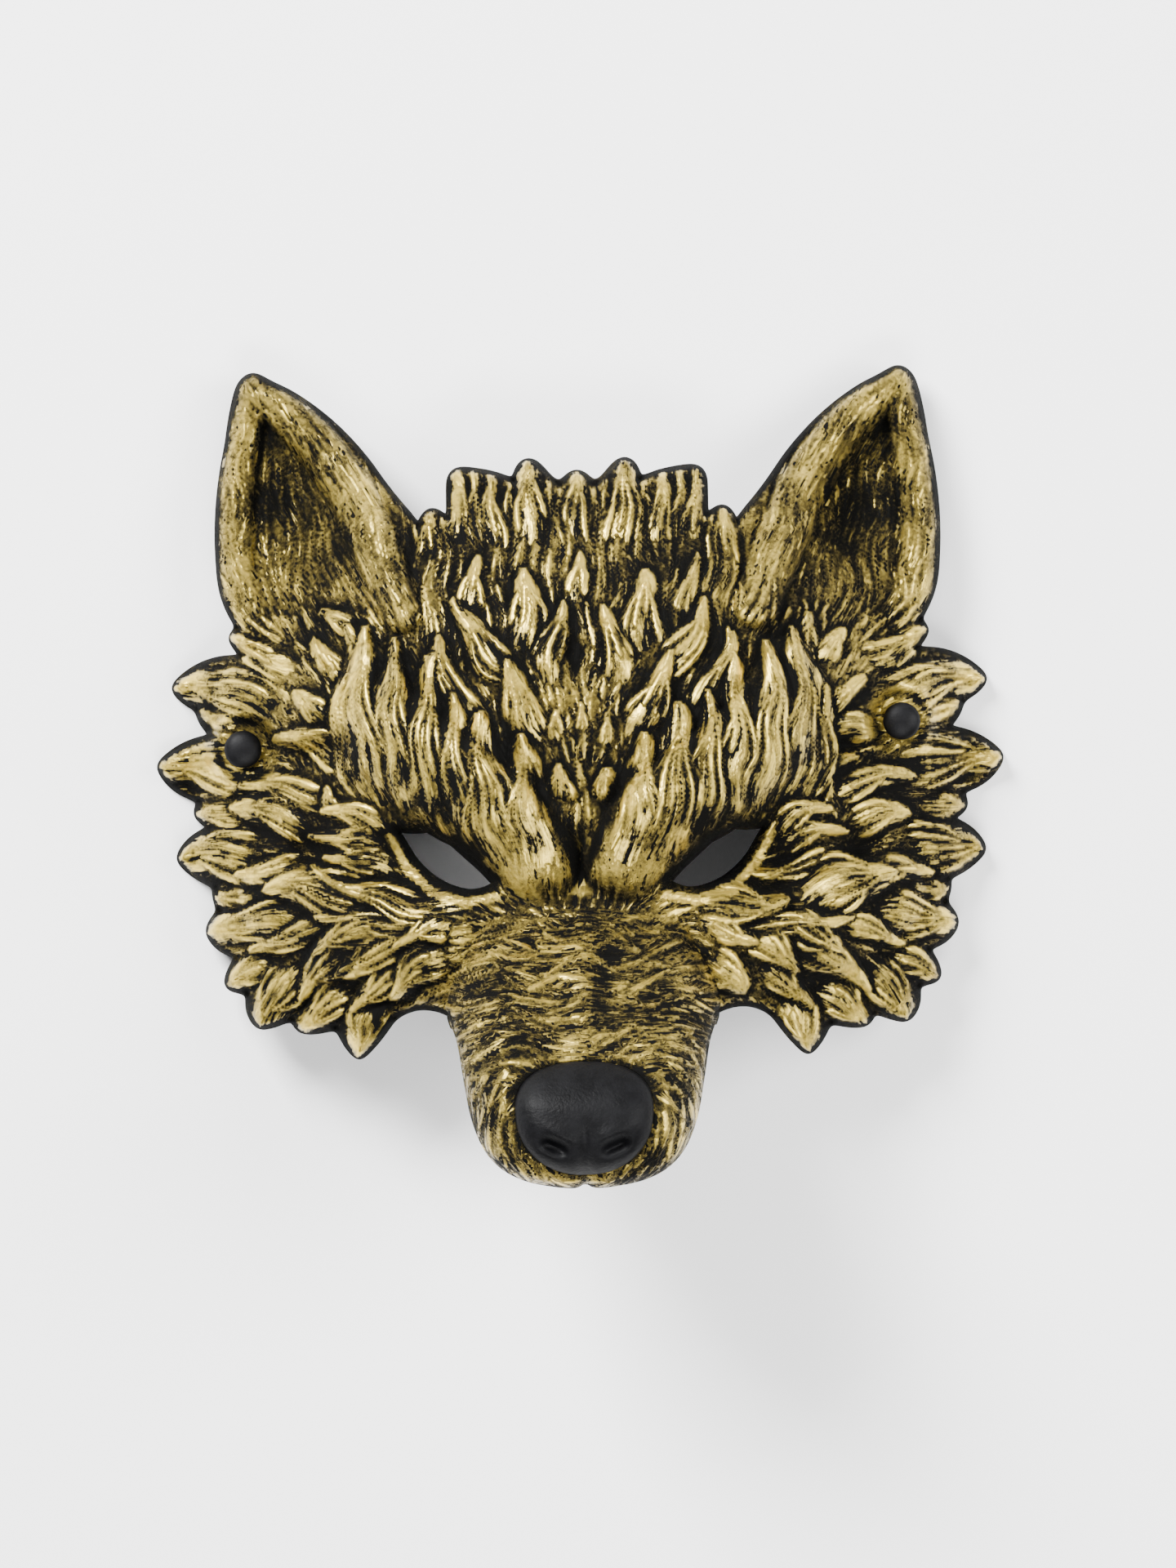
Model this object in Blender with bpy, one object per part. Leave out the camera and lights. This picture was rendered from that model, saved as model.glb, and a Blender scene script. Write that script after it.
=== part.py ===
"""Half-face wolf mask in moulded foam, lying face up on its cheek tufts.

Metres. +Z points out of the face, +Y towards the ears, and the mask is the same on both
sides of x = 0. Tables count in whole steps of the three overall sizes: 250 steps across,
240 steps up, 120 steps out.
"""
import math
from collections import namedtuple

import bmesh
import bpy
import numpy as np
from mathutils import Vector
from mathutils.geometry import delaunay_2d_cdt

# Overall sizes and the step that the tables count in
MASK_WIDTH = 0.250
MASK_HEIGHT = 0.240
MASK_DEPTH = 0.120
ACROSS = MASK_WIDTH / 250.0
UP = MASK_HEIGHT / 240.0
OUT = MASK_DEPTH / 120.0

# Foam
FOAM_WALL = 0.005
EDGE_ROUND = 0.0022
EDGE_ROUND_REACH = 0.004
CLEARANCE = 0.0003

# Nose pad and its pocket
NOSE_HALF_WIDTH = 0.020
NOSE_HALF_HEIGHT = 0.0165
NOSE_DOME = 0.0045
NOSE_POCKET_DEPTH = 0.0025
NOSTRIL_DEPTH = 0.003
NOSE_UP = -99.5
NOSE_SQUARE = 2.3
NOSE_TAPER = 0.12
NOSE_SIDES = 36
NOSE_BED_RINGS = (0.85, 0.68, 0.48, 0.25)
NOSE_TOP_RINGS = (0.97, 0.9, 0.76, 0.56, 0.32)
NOSTRIL_ACROSS = 9.0
NOSTRIL_UP = -107.5
NOSTRIL_HALF_ACROSS = 5.0
NOSTRIL_HALF_UP = 3.5

# Band rivets
RIVET_CAP_RADIUS = 0.0055
RIVET_CAP_HEIGHT = 0.0032
RIVET_POST_RADIUS = 0.0020
RIVET_FLANGE_RADIUS = 0.0045
RIVET_FLANGE_THICKNESS = 0.0012
RIVET_SEAT_RADIUS = 0.0070
RIVET_SEAT_BLEND = 0.0050
RIVET_SEAT_RISE = RIVET_CAP_HEIGHT / 2
RIVET_SIDES = 24
SEAT_SIDES = RIVET_SIDES // 2
SEAT_RING_SHARE = 0.98

# Cap's section above its straight edge: share of its radius, share of its height
RIVET_DOME = ((1.0, 0.25), (0.88, 0.62), (0.62, 0.87), (0.3, 0.98))

# Edges sharper than this stay sharp in the shading
SHARP_ANGLE = math.radians(40.0)

# Mesh steps
OUTLINE_STEP = 0.0046
FRONT_STEP = 0.0054
BACK_STEP = 0.0090
POINT_GAP = 0.0021
HONEYCOMB_GAP_SHARE = 0.62
SLOPE_STEP = 0.0005
WELD = 0.000002

# The face's section across: share of the half width, share of the dome's height
Section = namedtuple("Section", "across height")
SECTION = [
    Section(0.00, 1.00),
    Section(0.16, 0.98),
    Section(0.32, 0.89),
    Section(0.48, 0.72),
    Section(0.64, 0.50),
    Section(0.76, 0.31),
    Section(0.86, 0.13),
    Section(0.93, 0.00),
    Section(1.02, 0.00),
]

# The dome's height along the face
RIM_OUT = 4.7
Crown = namedtuple("Crown", "up out")
CROWN = [
    Crown(-95, 44),
    Crown(-80, 52),
    Crown(-62, 58),
    Crown(-40, 65),
    Crown(-15, 70),
    Crown(10, 70),
    Crown(30, 66),
    Crown(50, 57),
    Crown(75, 43),
    Crown(95, 31),
    Crown(122, 22),
]

# Right half of the outline from the fringe's middle to the chin's: each knot ends an edge
# that is bowed out by a share of its length
Knot = namedtuple("Knot", "across up bow")
FRINGE_EDGE = [
    Knot(0, 90, 0.0),
    Knot(5, 85.5, 0.12),
    Knot(8, 88, 0.0),
    Knot(13, 93.4, 0.06),
    Knot(16.5, 92.4, 0.15),
    Knot(18.5, 86.8, 0.1),
    Knot(25.5, 89.6, 0.05),
    Knot(35.5, 91, 0.02),
    Knot(38, 87.5, 0.18),
    Knot(38, 76, 0.0),
    Knot(43, 79.3, 0.08),
    Knot(46.5, 73.5, 0.15),
]
EAR_EDGE = [
    Knot(48.5, 77, 0.05),
    Knot(60, 92, -0.02),
    Knot(70, 103.5, 0.02),
    Knot(85, 114.8, 0.03),
    Knot(94.5, 120, -0.03),
    Knot(100, 115, 0.15),
    Knot(103, 99, 0.02),
    Knot(106, 80, 0.02),
    Knot(106, 62, 0.02),
    Knot(100, 44.3, 0.08),
]
CHEEK_EDGE = [
    Knot(103.5, 42.2, 0.1),
    Knot(99, 36.3, 0.05),
    Knot(120.5, 27.5, 0.13),
    Knot(112.8, 21, 0.1),
    Knot(112.5, 18.5, 0.0),
    Knot(108.3, 13.2, 0.08),
    Knot(125, 4.5, 0.1),
    Knot(112.3, -6, 0.13),
    Knot(113.8, -10.5, 0.1),
    Knot(109.2, -13.8, 0.08),
    Knot(119.5, -23, 0.12),
    Knot(107.6, -31.5, 0.08),
    Knot(108.8, -35, 0.1),
    Knot(106.4, -38.5, 0.0),
    Knot(111, -44.5, 0.12),
    Knot(101.5, -52, 0.14),
    Knot(105.5, -61, 0.1),
    Knot(98.5, -62.5, 0.08),
    Knot(95.3, -73.5, 0.16),
    Knot(85.5, -70.3, 0.04),
    Knot(83, -74.5, 0.1),
    Knot(72.3, -73, 0.06),
    Knot(65.8, -82.8, 0.08),
    Knot(55.5, -70.7, 0.04),
    Knot(39.5, -69.5, -0.16),
]

# Muzzle's foot line from the eyes' inner corners to the chin: its place in plan, and how
# far out the wall's lower edge stands
Foot = namedtuple("Foot", "across up out")
MUZZLE_FOOT = [
    Foot(24, -32, 50),
    Foot(30, -43, 52),
    Foot(35, -54, 53),
    Foot(38.5, -63, 52),
    Foot(39.5, -69.5, 51),
    Foot(37, -78, 57),
    Foot(35, -90, 68),
    Foot(33, -100, 78),
    Foot(29.5, -108.5, 86),
    Foot(24.5, -114.2, 90),
    Foot(17.5, -117.8, 93),
    Foot(9, -119.6, 95),
    Foot(3, -120, 96),
    Foot(0, -118.6, 96.5),
]
MUZZLE_RIDGE = [
    Crown(-122, 117),
    Crown(-110, 116.5),
    Crown(-97, 114.5),
    Crown(-85, 108),
    Crown(-70, 97),
    Crown(-58, 87),
    Crown(-46, 76),
    Crown(-36, 64),
    Crown(-26, 48),
]
CHIN = Foot(0, -120.5, 96.5)
ARCH_FOOT = 4
FOOT_BOW = 0.02
MUZZLE_SHOULDER = 24
MUZZLE_ROUND = 2.6
MUZZLE_BLEND = 8
MUZZLE_FLARE = 2.0

# Where the mesh has rings on the muzzle's wall, as shares of its shoulder
OUTER_RINGS = (0.006, 0.035, 0.1, 0.22)
INNER_RINGS = (0.02, 0.1, 0.25)

# How much of the rolls and dents shows on the back, and the most that a slope thickens it
BACK_ROLL_SHARE = 0.6
BACK_DENT_SHARE = 0.9
STEEPEST = 2.0

# Eye opening, counted round from its outer corner
EYE_HOLE = [
    Knot(53.5, -15.3, 0.0),
    Knot(45, -15.6, 0.05),
    Knot(38, -19.5, 0.02),
    Knot(32, -25, 0.0),
    Knot(26, -31.2, -0.02),
    Knot(34, -33, -0.1),
    Knot(42.5, -29.5, -0.05),
    Knot(49, -23, -0.04),
]

# Padded rolls: plan place, half width and height of each knot
Roll = namedtuple("Roll", "across up half height")
ROLLS = [
    [
        Roll(13, -23, 12.5, 7),
        Roll(24, -12, 13.5, 9),
        Roll(42, 0, 15, 9),
        Roll(56, 13, 14, 8),
        Roll(61, 32, 8, 4),
    ],
    [
        Roll(98, 46, 7, 3),
        Roll(101.5, 62, 6.5, 6),
        Roll(101, 82, 6, 7),
        Roll(98, 102, 5.5, 7),
        Roll(95, 114, 5, 6),
    ],
    [
        Roll(52, 49, 6.5, 6),
        Roll(58, 64, 7.5, 8),
        Roll(66, 84, 7.5, 8),
        Roll(77, 99, 7, 8),
        Roll(88, 110, 6, 7),
        Roll(94, 115, 5, 6),
    ],
    [
        Roll(46, -52, 14, 3),
        Roll(68, -46, 16, 5),
        Roll(88, -36, 13, 4),
    ],
    [
        Roll(62, 20, 10, 2),
        Roll(80, 22, 13, 4),
        Roll(98, 24, 10, 3),
    ],
]

# Hollows: plan place, half sizes and depth
Dent = namedtuple("Dent", "across up half_across half_up depth")
DENTS = [
    Dent(44, -25, 22, 14, 11),
    Dent(82, 78, 15, 27, 8),
    Dent(76, 8, 9, 7, 4),
    Dent(81, -22, 8, 7, 4),
    Dent(0, 34, 5, 9, 3),
    Dent(0, -20, 5, 16, 4),
]
DENT_FALL = 1.6

# Fur locks: root, tip, full width, sideways bend as a share of the length, height
Lock = namedtuple("Lock", "root_across root_up tip_across tip_up width bend height")
LOCKS = [
    Lock(43, 60, 43, 79, 6, 0.0, 2.5),
    Lock(33, 62, 35.5, 91, 9, 0.0, 3.5),
    Lock(25, 64, 26, 89, 8, 0.0, 3.0),
    Lock(13, 65, 14.5, 93, 10, 0.0, 4.0),
    Lock(0, 66, 0, 90, 8, 0.0, 3.5),
    Lock(17, 37, 17, 60, 9, 0.0, 3.0),
    Lock(8.5, 30, 6, 50, 7, 0.0, 2.5),
    Lock(17, 30, 36, 52, 7, 0.08, 2.5),
    Lock(33, 17, 43, 41, 7, 0.06, 2.5),
    Lock(20, -20, 30, 16, 13, 0.05, 3.0),
    Lock(50, -14, 62, 43, 13, -0.1, 3.5),
    Lock(42, -14, 50, 36, 11, -0.05, 3.0),
    Lock(80, 33, 103.5, 42, 9, 0.0, 3.0),
    Lock(86, 18, 120.5, 27.5, 14, 0.1, 4.0),
    Lock(97, 18, 112.5, 18.5, 7, 0.0, 2.5),
    Lock(89, 1, 125, 4.5, 14, 0.05, 4.0),
    Lock(96, -8, 113.8, -10.5, 7, 0.0, 2.5),
    Lock(91, -23, 119.5, -23, 15, 0.05, 4.0),
    Lock(92, -34, 108.8, -35, 6.5, 0.0, 2.5),
    Lock(80, -43, 111, -44.5, 12, 0.0, 3.5),
    Lock(88, -52, 105.5, -61, 8, 0.0, 3.0),
    Lock(78, -54, 95.3, -73.5, 13, 0.1, 3.5),
    Lock(65, -61, 83, -74.5, 10, 0.05, 3.0),
    Lock(58, -62, 65.8, -82.8, 11, 0.05, 3.5),
    Lock(68, -39, 92, -31, 13, 0.08, 3.5),
    Lock(38, -37, 74, -28, 8, -0.08, 2.5),
    Lock(58, -44, 78, -51.5, 9, 0.0, 2.5),
    Lock(50, -49, 68, -58, 9, 0.0, 2.5),
    Lock(57, -20, 75, -10, 7, 0.06, 2.5),
    Lock(72, 9, 90, 13, 8, 0.0, 2.5),
    Lock(76, -7, 98, -2, 8, 0.0, 2.5),
    Lock(71, 33, 77, 42, 7, 0.0, 2.0),
]

# Mesh points on each lock (share of its length, side) and across each roll
LOCK_MARKS = (
    (0.35, 0), (0.6, 0), (0.82, 0), (0.3, 1), (0.3, -1), (0.55, 1), (0.55, -1),
    (0.8, 1), (0.8, -1), (0.1, 0), (1.0, 0),
)
LOCK_EDGE = 0.52
ROLL_MARKS = (0.0, -1.02, 1.02, -0.6, 0.6)

# Where each rivet passes through
Place = namedtuple("Place", "name across up")
RIVETS = [
    Place("rivet_left", -99, 9),
    Place("rivet_right", 94.5, 15),
]


def clear_scene():
    for thing in list(bpy.data.objects):
        bpy.data.objects.remove(thing, do_unlink=True)
    for mesh in list(bpy.data.meshes):
        bpy.data.meshes.remove(mesh)


def smooth_rows(where, places, values):
    """Values between table rows, by a smooth curve with no overshoot at the rows."""
    places = np.asarray(places, float)
    values = np.asarray(values, float)
    slopes = np.diff(values) / np.diff(places)
    ends = np.zeros(len(values))
    ends[0] = slopes[0]
    ends[-1] = slopes[-1]
    for row in range(1, len(values) - 1):
        before = slopes[row - 1]
        after = slopes[row]
        if before * after > 0.0:
            ends[row] = 2.0 * before * after / (before + after)
    held = np.clip(where, places[0], places[-1])
    row = np.clip(np.searchsorted(places, held) - 1, 0, len(places) - 2)
    span = places[row + 1] - places[row]
    share = (held - places[row]) / span
    return (
        (2 * share**3 - 3 * share**2 + 1) * values[row]
        + (share**3 - 2 * share**2 + share) * span * ends[row]
        + (3 * share**2 - 2 * share**3) * values[row + 1]
        + (share**3 - share**2) * span * ends[row + 1]
    )


def smooth_step(share):
    held = np.clip(share, 0.0, 1.0)
    return held * held * (3.0 - 2.0 * held)


def smooth_max(first, second, blend):
    """The greater of two heights, with the join filled over the blend's height."""
    near = np.maximum(blend - np.abs(first - second), 0.0) / blend
    return np.maximum(first, second) + near * near * blend * 0.25


def bowed_line(knots, step):
    """Points along a chain of knots in metres, each edge bowed to its left hand."""
    points = [(knots[0].across * ACROSS, knots[0].up * UP)]
    for knot in knots[1:]:
        x0, y0 = points[-1]
        x1 = knot.across * ACROSS
        y1 = knot.up * UP
        length = math.hypot(x1 - x0, y1 - y0)
        count = max(1, round(length / step))
        side_x = -(y1 - y0) * knot.bow * 4.0
        side_y = (x1 - x0) * knot.bow * 4.0
        for part in range(1, count + 1):
            share = part / count
            swell = share * (1.0 - share)
            points.append((
                x0 + (x1 - x0) * share + side_x * swell,
                y0 + (y1 - y0) * share + side_y * swell,
            ))
    return points


def mirrored(points):
    return [(-x, y) for x, y in points]


def inside(points, loop):
    """Which points lie within a closed loop."""
    x, y = points[:, 0], points[:, 1]
    within = np.zeros(len(points), bool)
    for (x0, y0), (x1, y1) in zip(loop, loop[1:] + loop[:1]):
        if y0 == y1:
            continue
        crosses = (y0 > y) != (y1 > y)
        within ^= crosses & (x < (x1 - x0) * (y - y0) / (y1 - y0) + x0)
    return within


def nearest_on_line(points, line):
    """Distance to an open line in plan, and the place along it counted in its segments."""
    best = np.full(len(points), np.inf)
    place = np.zeros(len(points))
    for number, ((x0, y0), (x1, y1)) in enumerate(zip(line, line[1:])):
        run_x, run_y = x1 - x0, y1 - y0
        size = run_x * run_x + run_y * run_y
        share = ((points[:, 0] - x0) * run_x + (points[:, 1] - y0) * run_y) / size
        share = np.clip(share, 0.0, 1.0)
        away = np.hypot(points[:, 0] - x0 - share * run_x, points[:, 1] - y0 - share * run_y)
        closer = away < best
        best[closer] = away[closer]
        place[closer] = number + share[closer]
    return best, place


def offset_line(line, distance):
    """An open line moved to its left hand, from the foot line towards the muzzle's middle."""
    moved = []
    for number, (x, y) in enumerate(line):
        x0, y0 = line[max(number - 1, 0)]
        x1, y1 = line[min(number + 1, len(line) - 1)]
        length = math.hypot(x1 - x0, y1 - y0)
        moved.append((x - (y1 - y0) / length * distance, y + (x1 - x0) / length * distance))
    return moved


# Outline, eye holes and the muzzle's foot line
fringe_points = bowed_line(FRINGE_EDGE, OUTLINE_STEP)
upper_points = bowed_line([FRINGE_EDGE[-1]] + EAR_EDGE, OUTLINE_STEP)[1:]
cheek_points = bowed_line([EAR_EDGE[-1]] + CHEEK_EDGE, OUTLINE_STEP)[1:]
foot_knots = [Knot(foot.across, foot.up, FOOT_BOW) for foot in MUZZLE_FOOT]
face_foot = bowed_line(foot_knots[:ARCH_FOOT + 1], OUTLINE_STEP)
lip_foot = bowed_line(foot_knots[ARCH_FOOT:], OUTLINE_STEP)
half_outline = fringe_points + upper_points + cheek_points + lip_foot[1:]
outline = half_outline + mirrored(half_outline[1:-1])[::-1]
half_foot = face_foot + lip_foot[1:]
foot_line = mirrored(half_foot) + half_foot[:-1][::-1]
eye_right = bowed_line(EYE_HOLE + [EYE_HOLE[0]], OUTLINE_STEP)[:-1]
eye_left = mirrored(eye_right)[::-1]
lip_start = len(face_foot) - 1
lip_stop = len(foot_line) - len(face_foot)
outline_arch = len(fringe_points) + len(upper_points) + len(cheek_points) - 1


def foot_out(line_places):
    """How far out the muzzle wall's lower edge stands at places along the foot line."""
    ups = [y for x, y in foot_line]
    up = np.interp(line_places, range(len(ups)), ups)
    rows = sorted(MUZZLE_FOOT[:-2] + [CHIN], key=lambda row: row.up)
    return smooth_rows(up / UP, [row.up for row in rows], [row.out for row in rows]) * OUT


def face_out(points):
    """The dome of the face with no fur."""
    crown = smooth_rows(points[:, 1] / UP, [row.up for row in CROWN], [row.out for row in CROWN])
    share = smooth_rows(
        np.abs(points[:, 0]) / (MASK_WIDTH / 2),
        [row.across for row in SECTION],
        [row.height for row in SECTION],
    )
    return (RIM_OUT + crown * share) * OUT


def muzzle_out(points, inset):
    """The muzzle's surface, moved inwards by the inset."""
    line = offset_line(foot_line, inset) if inset else foot_line
    away, place = nearest_on_line(points, line)
    lip = foot_out(place)
    ridge = smooth_rows(
        points[:, 1] / UP,
        [row.up for row in MUZZLE_RIDGE],
        [row.out for row in MUZZLE_RIDGE],
    ) * OUT - inset
    shoulder = MUZZLE_SHOULDER * ACROSS - inset
    share = np.clip(away / shoulder, 0.0, 1.0)
    rise = (1.0 - (1.0 - share)**MUZZLE_ROUND)**(1.0 / MUZZLE_ROUND)
    within = inside(points, line)
    return np.where(within, lip + (ridge - lip) * rise, lip - away * MUZZLE_FLARE)


def rolls_out(points):
    height = np.zeros(len(points))
    across = np.abs(points[:, 0])
    for roll in ROLLS:
        for first, last in zip(roll, roll[1:]):
            x0, y0 = first.across * ACROSS, first.up * UP
            run_x, run_y = last.across * ACROSS - x0, last.up * UP - y0
            size = run_x * run_x + run_y * run_y
            share = np.clip(((across - x0) * run_x + (points[:, 1] - y0) * run_y) / size, 0, 1)
            away = np.hypot(across - x0 - share * run_x, points[:, 1] - y0 - share * run_y)
            half = (first.half + (last.half - first.half) * share) * ACROSS
            top = (first.height + (last.height - first.height) * share) * OUT
            height = np.maximum(height, top * np.sqrt(np.maximum(1 - (away / half)**2, 0)))
    return height


def dents_out(points):
    depth = np.zeros(len(points))
    across = np.abs(points[:, 0])
    for dent in DENTS:
        away_x = (across - dent.across * ACROSS) / (dent.half_across * ACROSS)
        away_y = (points[:, 1] - dent.up * UP) / (dent.half_up * UP)
        depth += dent.depth * OUT * np.exp(-(away_x**2 + away_y**2) * DENT_FALL)
    return depth


def lock_width(share):
    """Half width of a lock along its length, as a share of its greatest."""
    return np.sqrt(np.maximum(1.0 - np.abs(2.0 * share - 0.85)**2.2 / 1.6, 0.02)) * np.clip(
        (1.03 - share) / 0.35, 0.0, 1.0)**0.5


def locks_out(points):
    height = np.zeros(len(points))
    across = np.abs(points[:, 0])
    for lock in LOCKS:
        x0, y0 = lock.root_across * ACROSS, lock.root_up * UP
        run_x, run_y = lock.tip_across * ACROSS - x0, lock.tip_up * UP - y0
        length = math.hypot(run_x, run_y)
        share = ((across - x0) * run_x + (points[:, 1] - y0) * run_y) / length**2
        aside = (-(across - x0) * run_y + (points[:, 1] - y0) * run_x) / length
        aside = aside - lock.bend * length * 4.0 * share * (1.0 - share)
        half = lock.width * ACROSS * 0.5 * lock_width(share)
        on_lock = (share > 0.0) & (share < 1.02) & (np.abs(aside) < half)
        lift = smooth_step(share / 0.45) * lock.height * OUT
        rise = lift * np.sqrt(np.maximum(1.0 - (aside / np.maximum(half, 1e-6))**2, 0.0))
        height = np.where(on_lock, np.maximum(height, rise), height)
    return height


closed_outline = outline + [outline[0]]
mouth_line = foot_line[lip_start:lip_stop + 1]


def edge_drop(points):
    """How far the front rolls down beside the cut edge, less beside the muzzle's lip."""
    away, _ = nearest_on_line(points, closed_outline)
    lip_away, _ = nearest_on_line(points, mouth_line)
    roll = EDGE_ROUND * (1.0 - np.clip(away / EDGE_ROUND_REACH, 0.0, 1.0))**2
    return roll * np.clip(lip_away / EDGE_ROUND_REACH, 0.0, 1.0)


def steepness(height_of, points):
    """Slope of a height function, for walls that keep their thickness on a slope."""
    along_x = height_of(points + [SLOPE_STEP, 0.0]) - height_of(points - [SLOPE_STEP, 0.0])
    along_y = height_of(points + [0.0, SLOPE_STEP]) - height_of(points - [0.0, SLOPE_STEP])
    return np.hypot(along_x, along_y) / (2.0 * SLOPE_STEP)


def seated(points, heights, seat_drop):
    """Heights made flat about each rivet, the drop below the front's seat."""
    for place in RIVETS:
        centre = np.array([[place.across * ACROSS, place.up * UP]])
        seat = face_out(centre)[0] + RIVET_SEAT_RISE - seat_drop
        away = np.hypot(points[:, 0] - centre[0, 0], points[:, 1] - centre[0, 1])
        share = 1.0 - smooth_step((away - RIVET_SEAT_RADIUS) / RIVET_SEAT_BLEND)
        heights = heights * (1.0 - share) + seat * share
    return heights


def front_out(points):
    face = face_out(points) + rolls_out(points) + locks_out(points) - dents_out(points)
    muzzle = muzzle_out(points, 0.0)
    whole = smooth_max(face, muzzle, MUZZLE_BLEND * OUT) - edge_drop(points)
    return seated(points, whole, 0.0)


def back_out(points):
    wall = FOAM_WALL * np.minimum(np.hypot(steepness(face_out, points), 1.0), STEEPEST)
    padding = rolls_out(points) * BACK_ROLL_SHARE - dents_out(points) * BACK_DENT_SHARE
    face = face_out(points) + padding - wall
    muzzle = muzzle_out(points, FOAM_WALL)
    whole = smooth_max(face, muzzle, MUZZLE_BLEND * OUT)
    return np.maximum(seated(points, whole, FOAM_WALL), 0.0)


def circle(place, radius, sides):
    x, y = place.across * ACROSS, place.up * UP
    turns = [2.0 * math.pi * number / sides for number in range(sides)]
    return [(x + radius * math.cos(turn), y + radius * math.sin(turn)) for turn in turns]


def nose_loop(grow, shrink=1.0):
    """The nose pad's edge in plan, grown all round and then shrunk towards its middle."""
    points = []
    for number in range(NOSE_SIDES):
        turn = 2.0 * math.pi * (number + 0.5) / NOSE_SIDES
        side, rise = math.cos(turn), math.sin(turn)
        x = math.copysign(abs(side)**(2.0 / NOSE_SQUARE), side) * (NOSE_HALF_WIDTH + grow)
        y = math.copysign(abs(rise)**(2.0 / NOSE_SQUARE), rise) * (NOSE_HALF_HEIGHT + grow)
        taper = 1.0 + NOSE_TAPER * rise
        points.append((x * shrink * taper, NOSE_UP * UP + y * shrink))
    return points


def loop_edges(start, count):
    return [(start + number, start + (number + 1) % count) for number in range(count)]


def clear_of_nose(line):
    """The stretches of an open line that keep clear of the nose's pocket."""
    blocked = inside(np.array(line), nose_loop(POINT_GAP * 0.7))
    stretches = [[]]
    for point, stop in zip(line, blocked):
        if stop:
            stretches.append([])
        else:
            stretches[-1].append(point)
    return [stretch for stretch in stretches if len(stretch) > 1]


def far_enough(candidates, taken, gap):
    """The candidates that keep a gap from every taken point and from one another."""
    grid = {}
    for x, y in taken:
        grid.setdefault((math.floor(x / gap), math.floor(y / gap)), []).append((x, y))
    kept = []
    for x, y in candidates:
        column, row = math.floor(x / gap), math.floor(y / gap)
        near = [
            other
            for step_x in (-1, 0, 1)
            for step_y in (-1, 0, 1)
            for other in grid.get((column + step_x, row + step_y), [])
        ]
        if all(math.hypot(x - ox, y - oy) >= gap for ox, oy in near):
            kept.append((x, y))
            grid.setdefault((column, row), []).append((x, y))
    return kept


def fill_points(step):
    """A honeycomb of points over the mask's plan, the same on both sides of the middle."""
    rise = step * math.sqrt(3.0) / 2.0
    rows = math.ceil(MASK_HEIGHT / 2 / rise) + 1
    columns = math.ceil(MASK_WIDTH / 2 / step) + 1
    points = []
    for row in range(-rows, rows + 1):
        shift = step * 0.5 if row % 2 else 0.0
        for column in range(-columns, columns + 1):
            points.append((column * step + shift, row * rise))
    return points


def lock_points():
    """Points along each lock's crest and beside its edges, where the surface turns."""
    points = []
    for lock in LOCKS:
        x0, y0 = lock.root_across * ACROSS, lock.root_up * UP
        run_x, run_y = lock.tip_across * ACROSS - x0, lock.tip_up * UP - y0
        length = math.hypot(run_x, run_y)
        for share, side in LOCK_MARKS:
            aside = lock.bend * length * 4.0 * share * (1.0 - share)
            aside += side * lock.width * ACROSS * LOCK_EDGE * float(lock_width(np.float64(share)))
            x = x0 + run_x * share - run_y / length * aside
            y = y0 + run_y * share + run_x / length * aside
            points.append((x, y))
            points.append((-x, y))
    return points


def roll_points():
    """Points along each padded roll's crest and beside its edges."""
    points = []
    for roll in ROLLS:
        for first, last in zip(roll, roll[1:]):
            x0, y0 = first.across * ACROSS, first.up * UP
            run_x, run_y = last.across * ACROSS - x0, last.up * UP - y0
            length = math.hypot(run_x, run_y)
            count = max(1, round(length / FRONT_STEP))
            for part in range(count):
                share = part / count
                half = (first.half + (last.half - first.half) * share) * ACROSS
                for side in ROLL_MARKS:
                    x = x0 + run_x * share - run_y / length * half * side
                    y = y0 + run_y * share + run_x / length * half * side
                    points += [(x, y), (-x, y)]
    return points


def triangulate(points, edges, loops, holes):
    """Triangles between fixed edges, kept inside the first loop and outside the holes."""
    flat, _, faces, origins, _, _ = delaunay_2d_cdt(
        [Vector(point) for point in points], edges, [], 0, 1e-9)
    if len(flat) != len(points):
        raise ValueError("plan edges cross: %d points became %d" % (len(points), len(flat)))
    order = [origin[0] for origin in origins]
    middles = np.array([
        [sum(flat[corner][axis] for corner in face) / 3.0 for axis in (0, 1)] for face in faces])
    keep = inside(middles, loops[0])
    for hole in holes:
        keep &= ~inside(middles, hole)
    return [
        [order[corner] for corner in face] for face, kept in zip(faces, keep) if kept]


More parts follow.
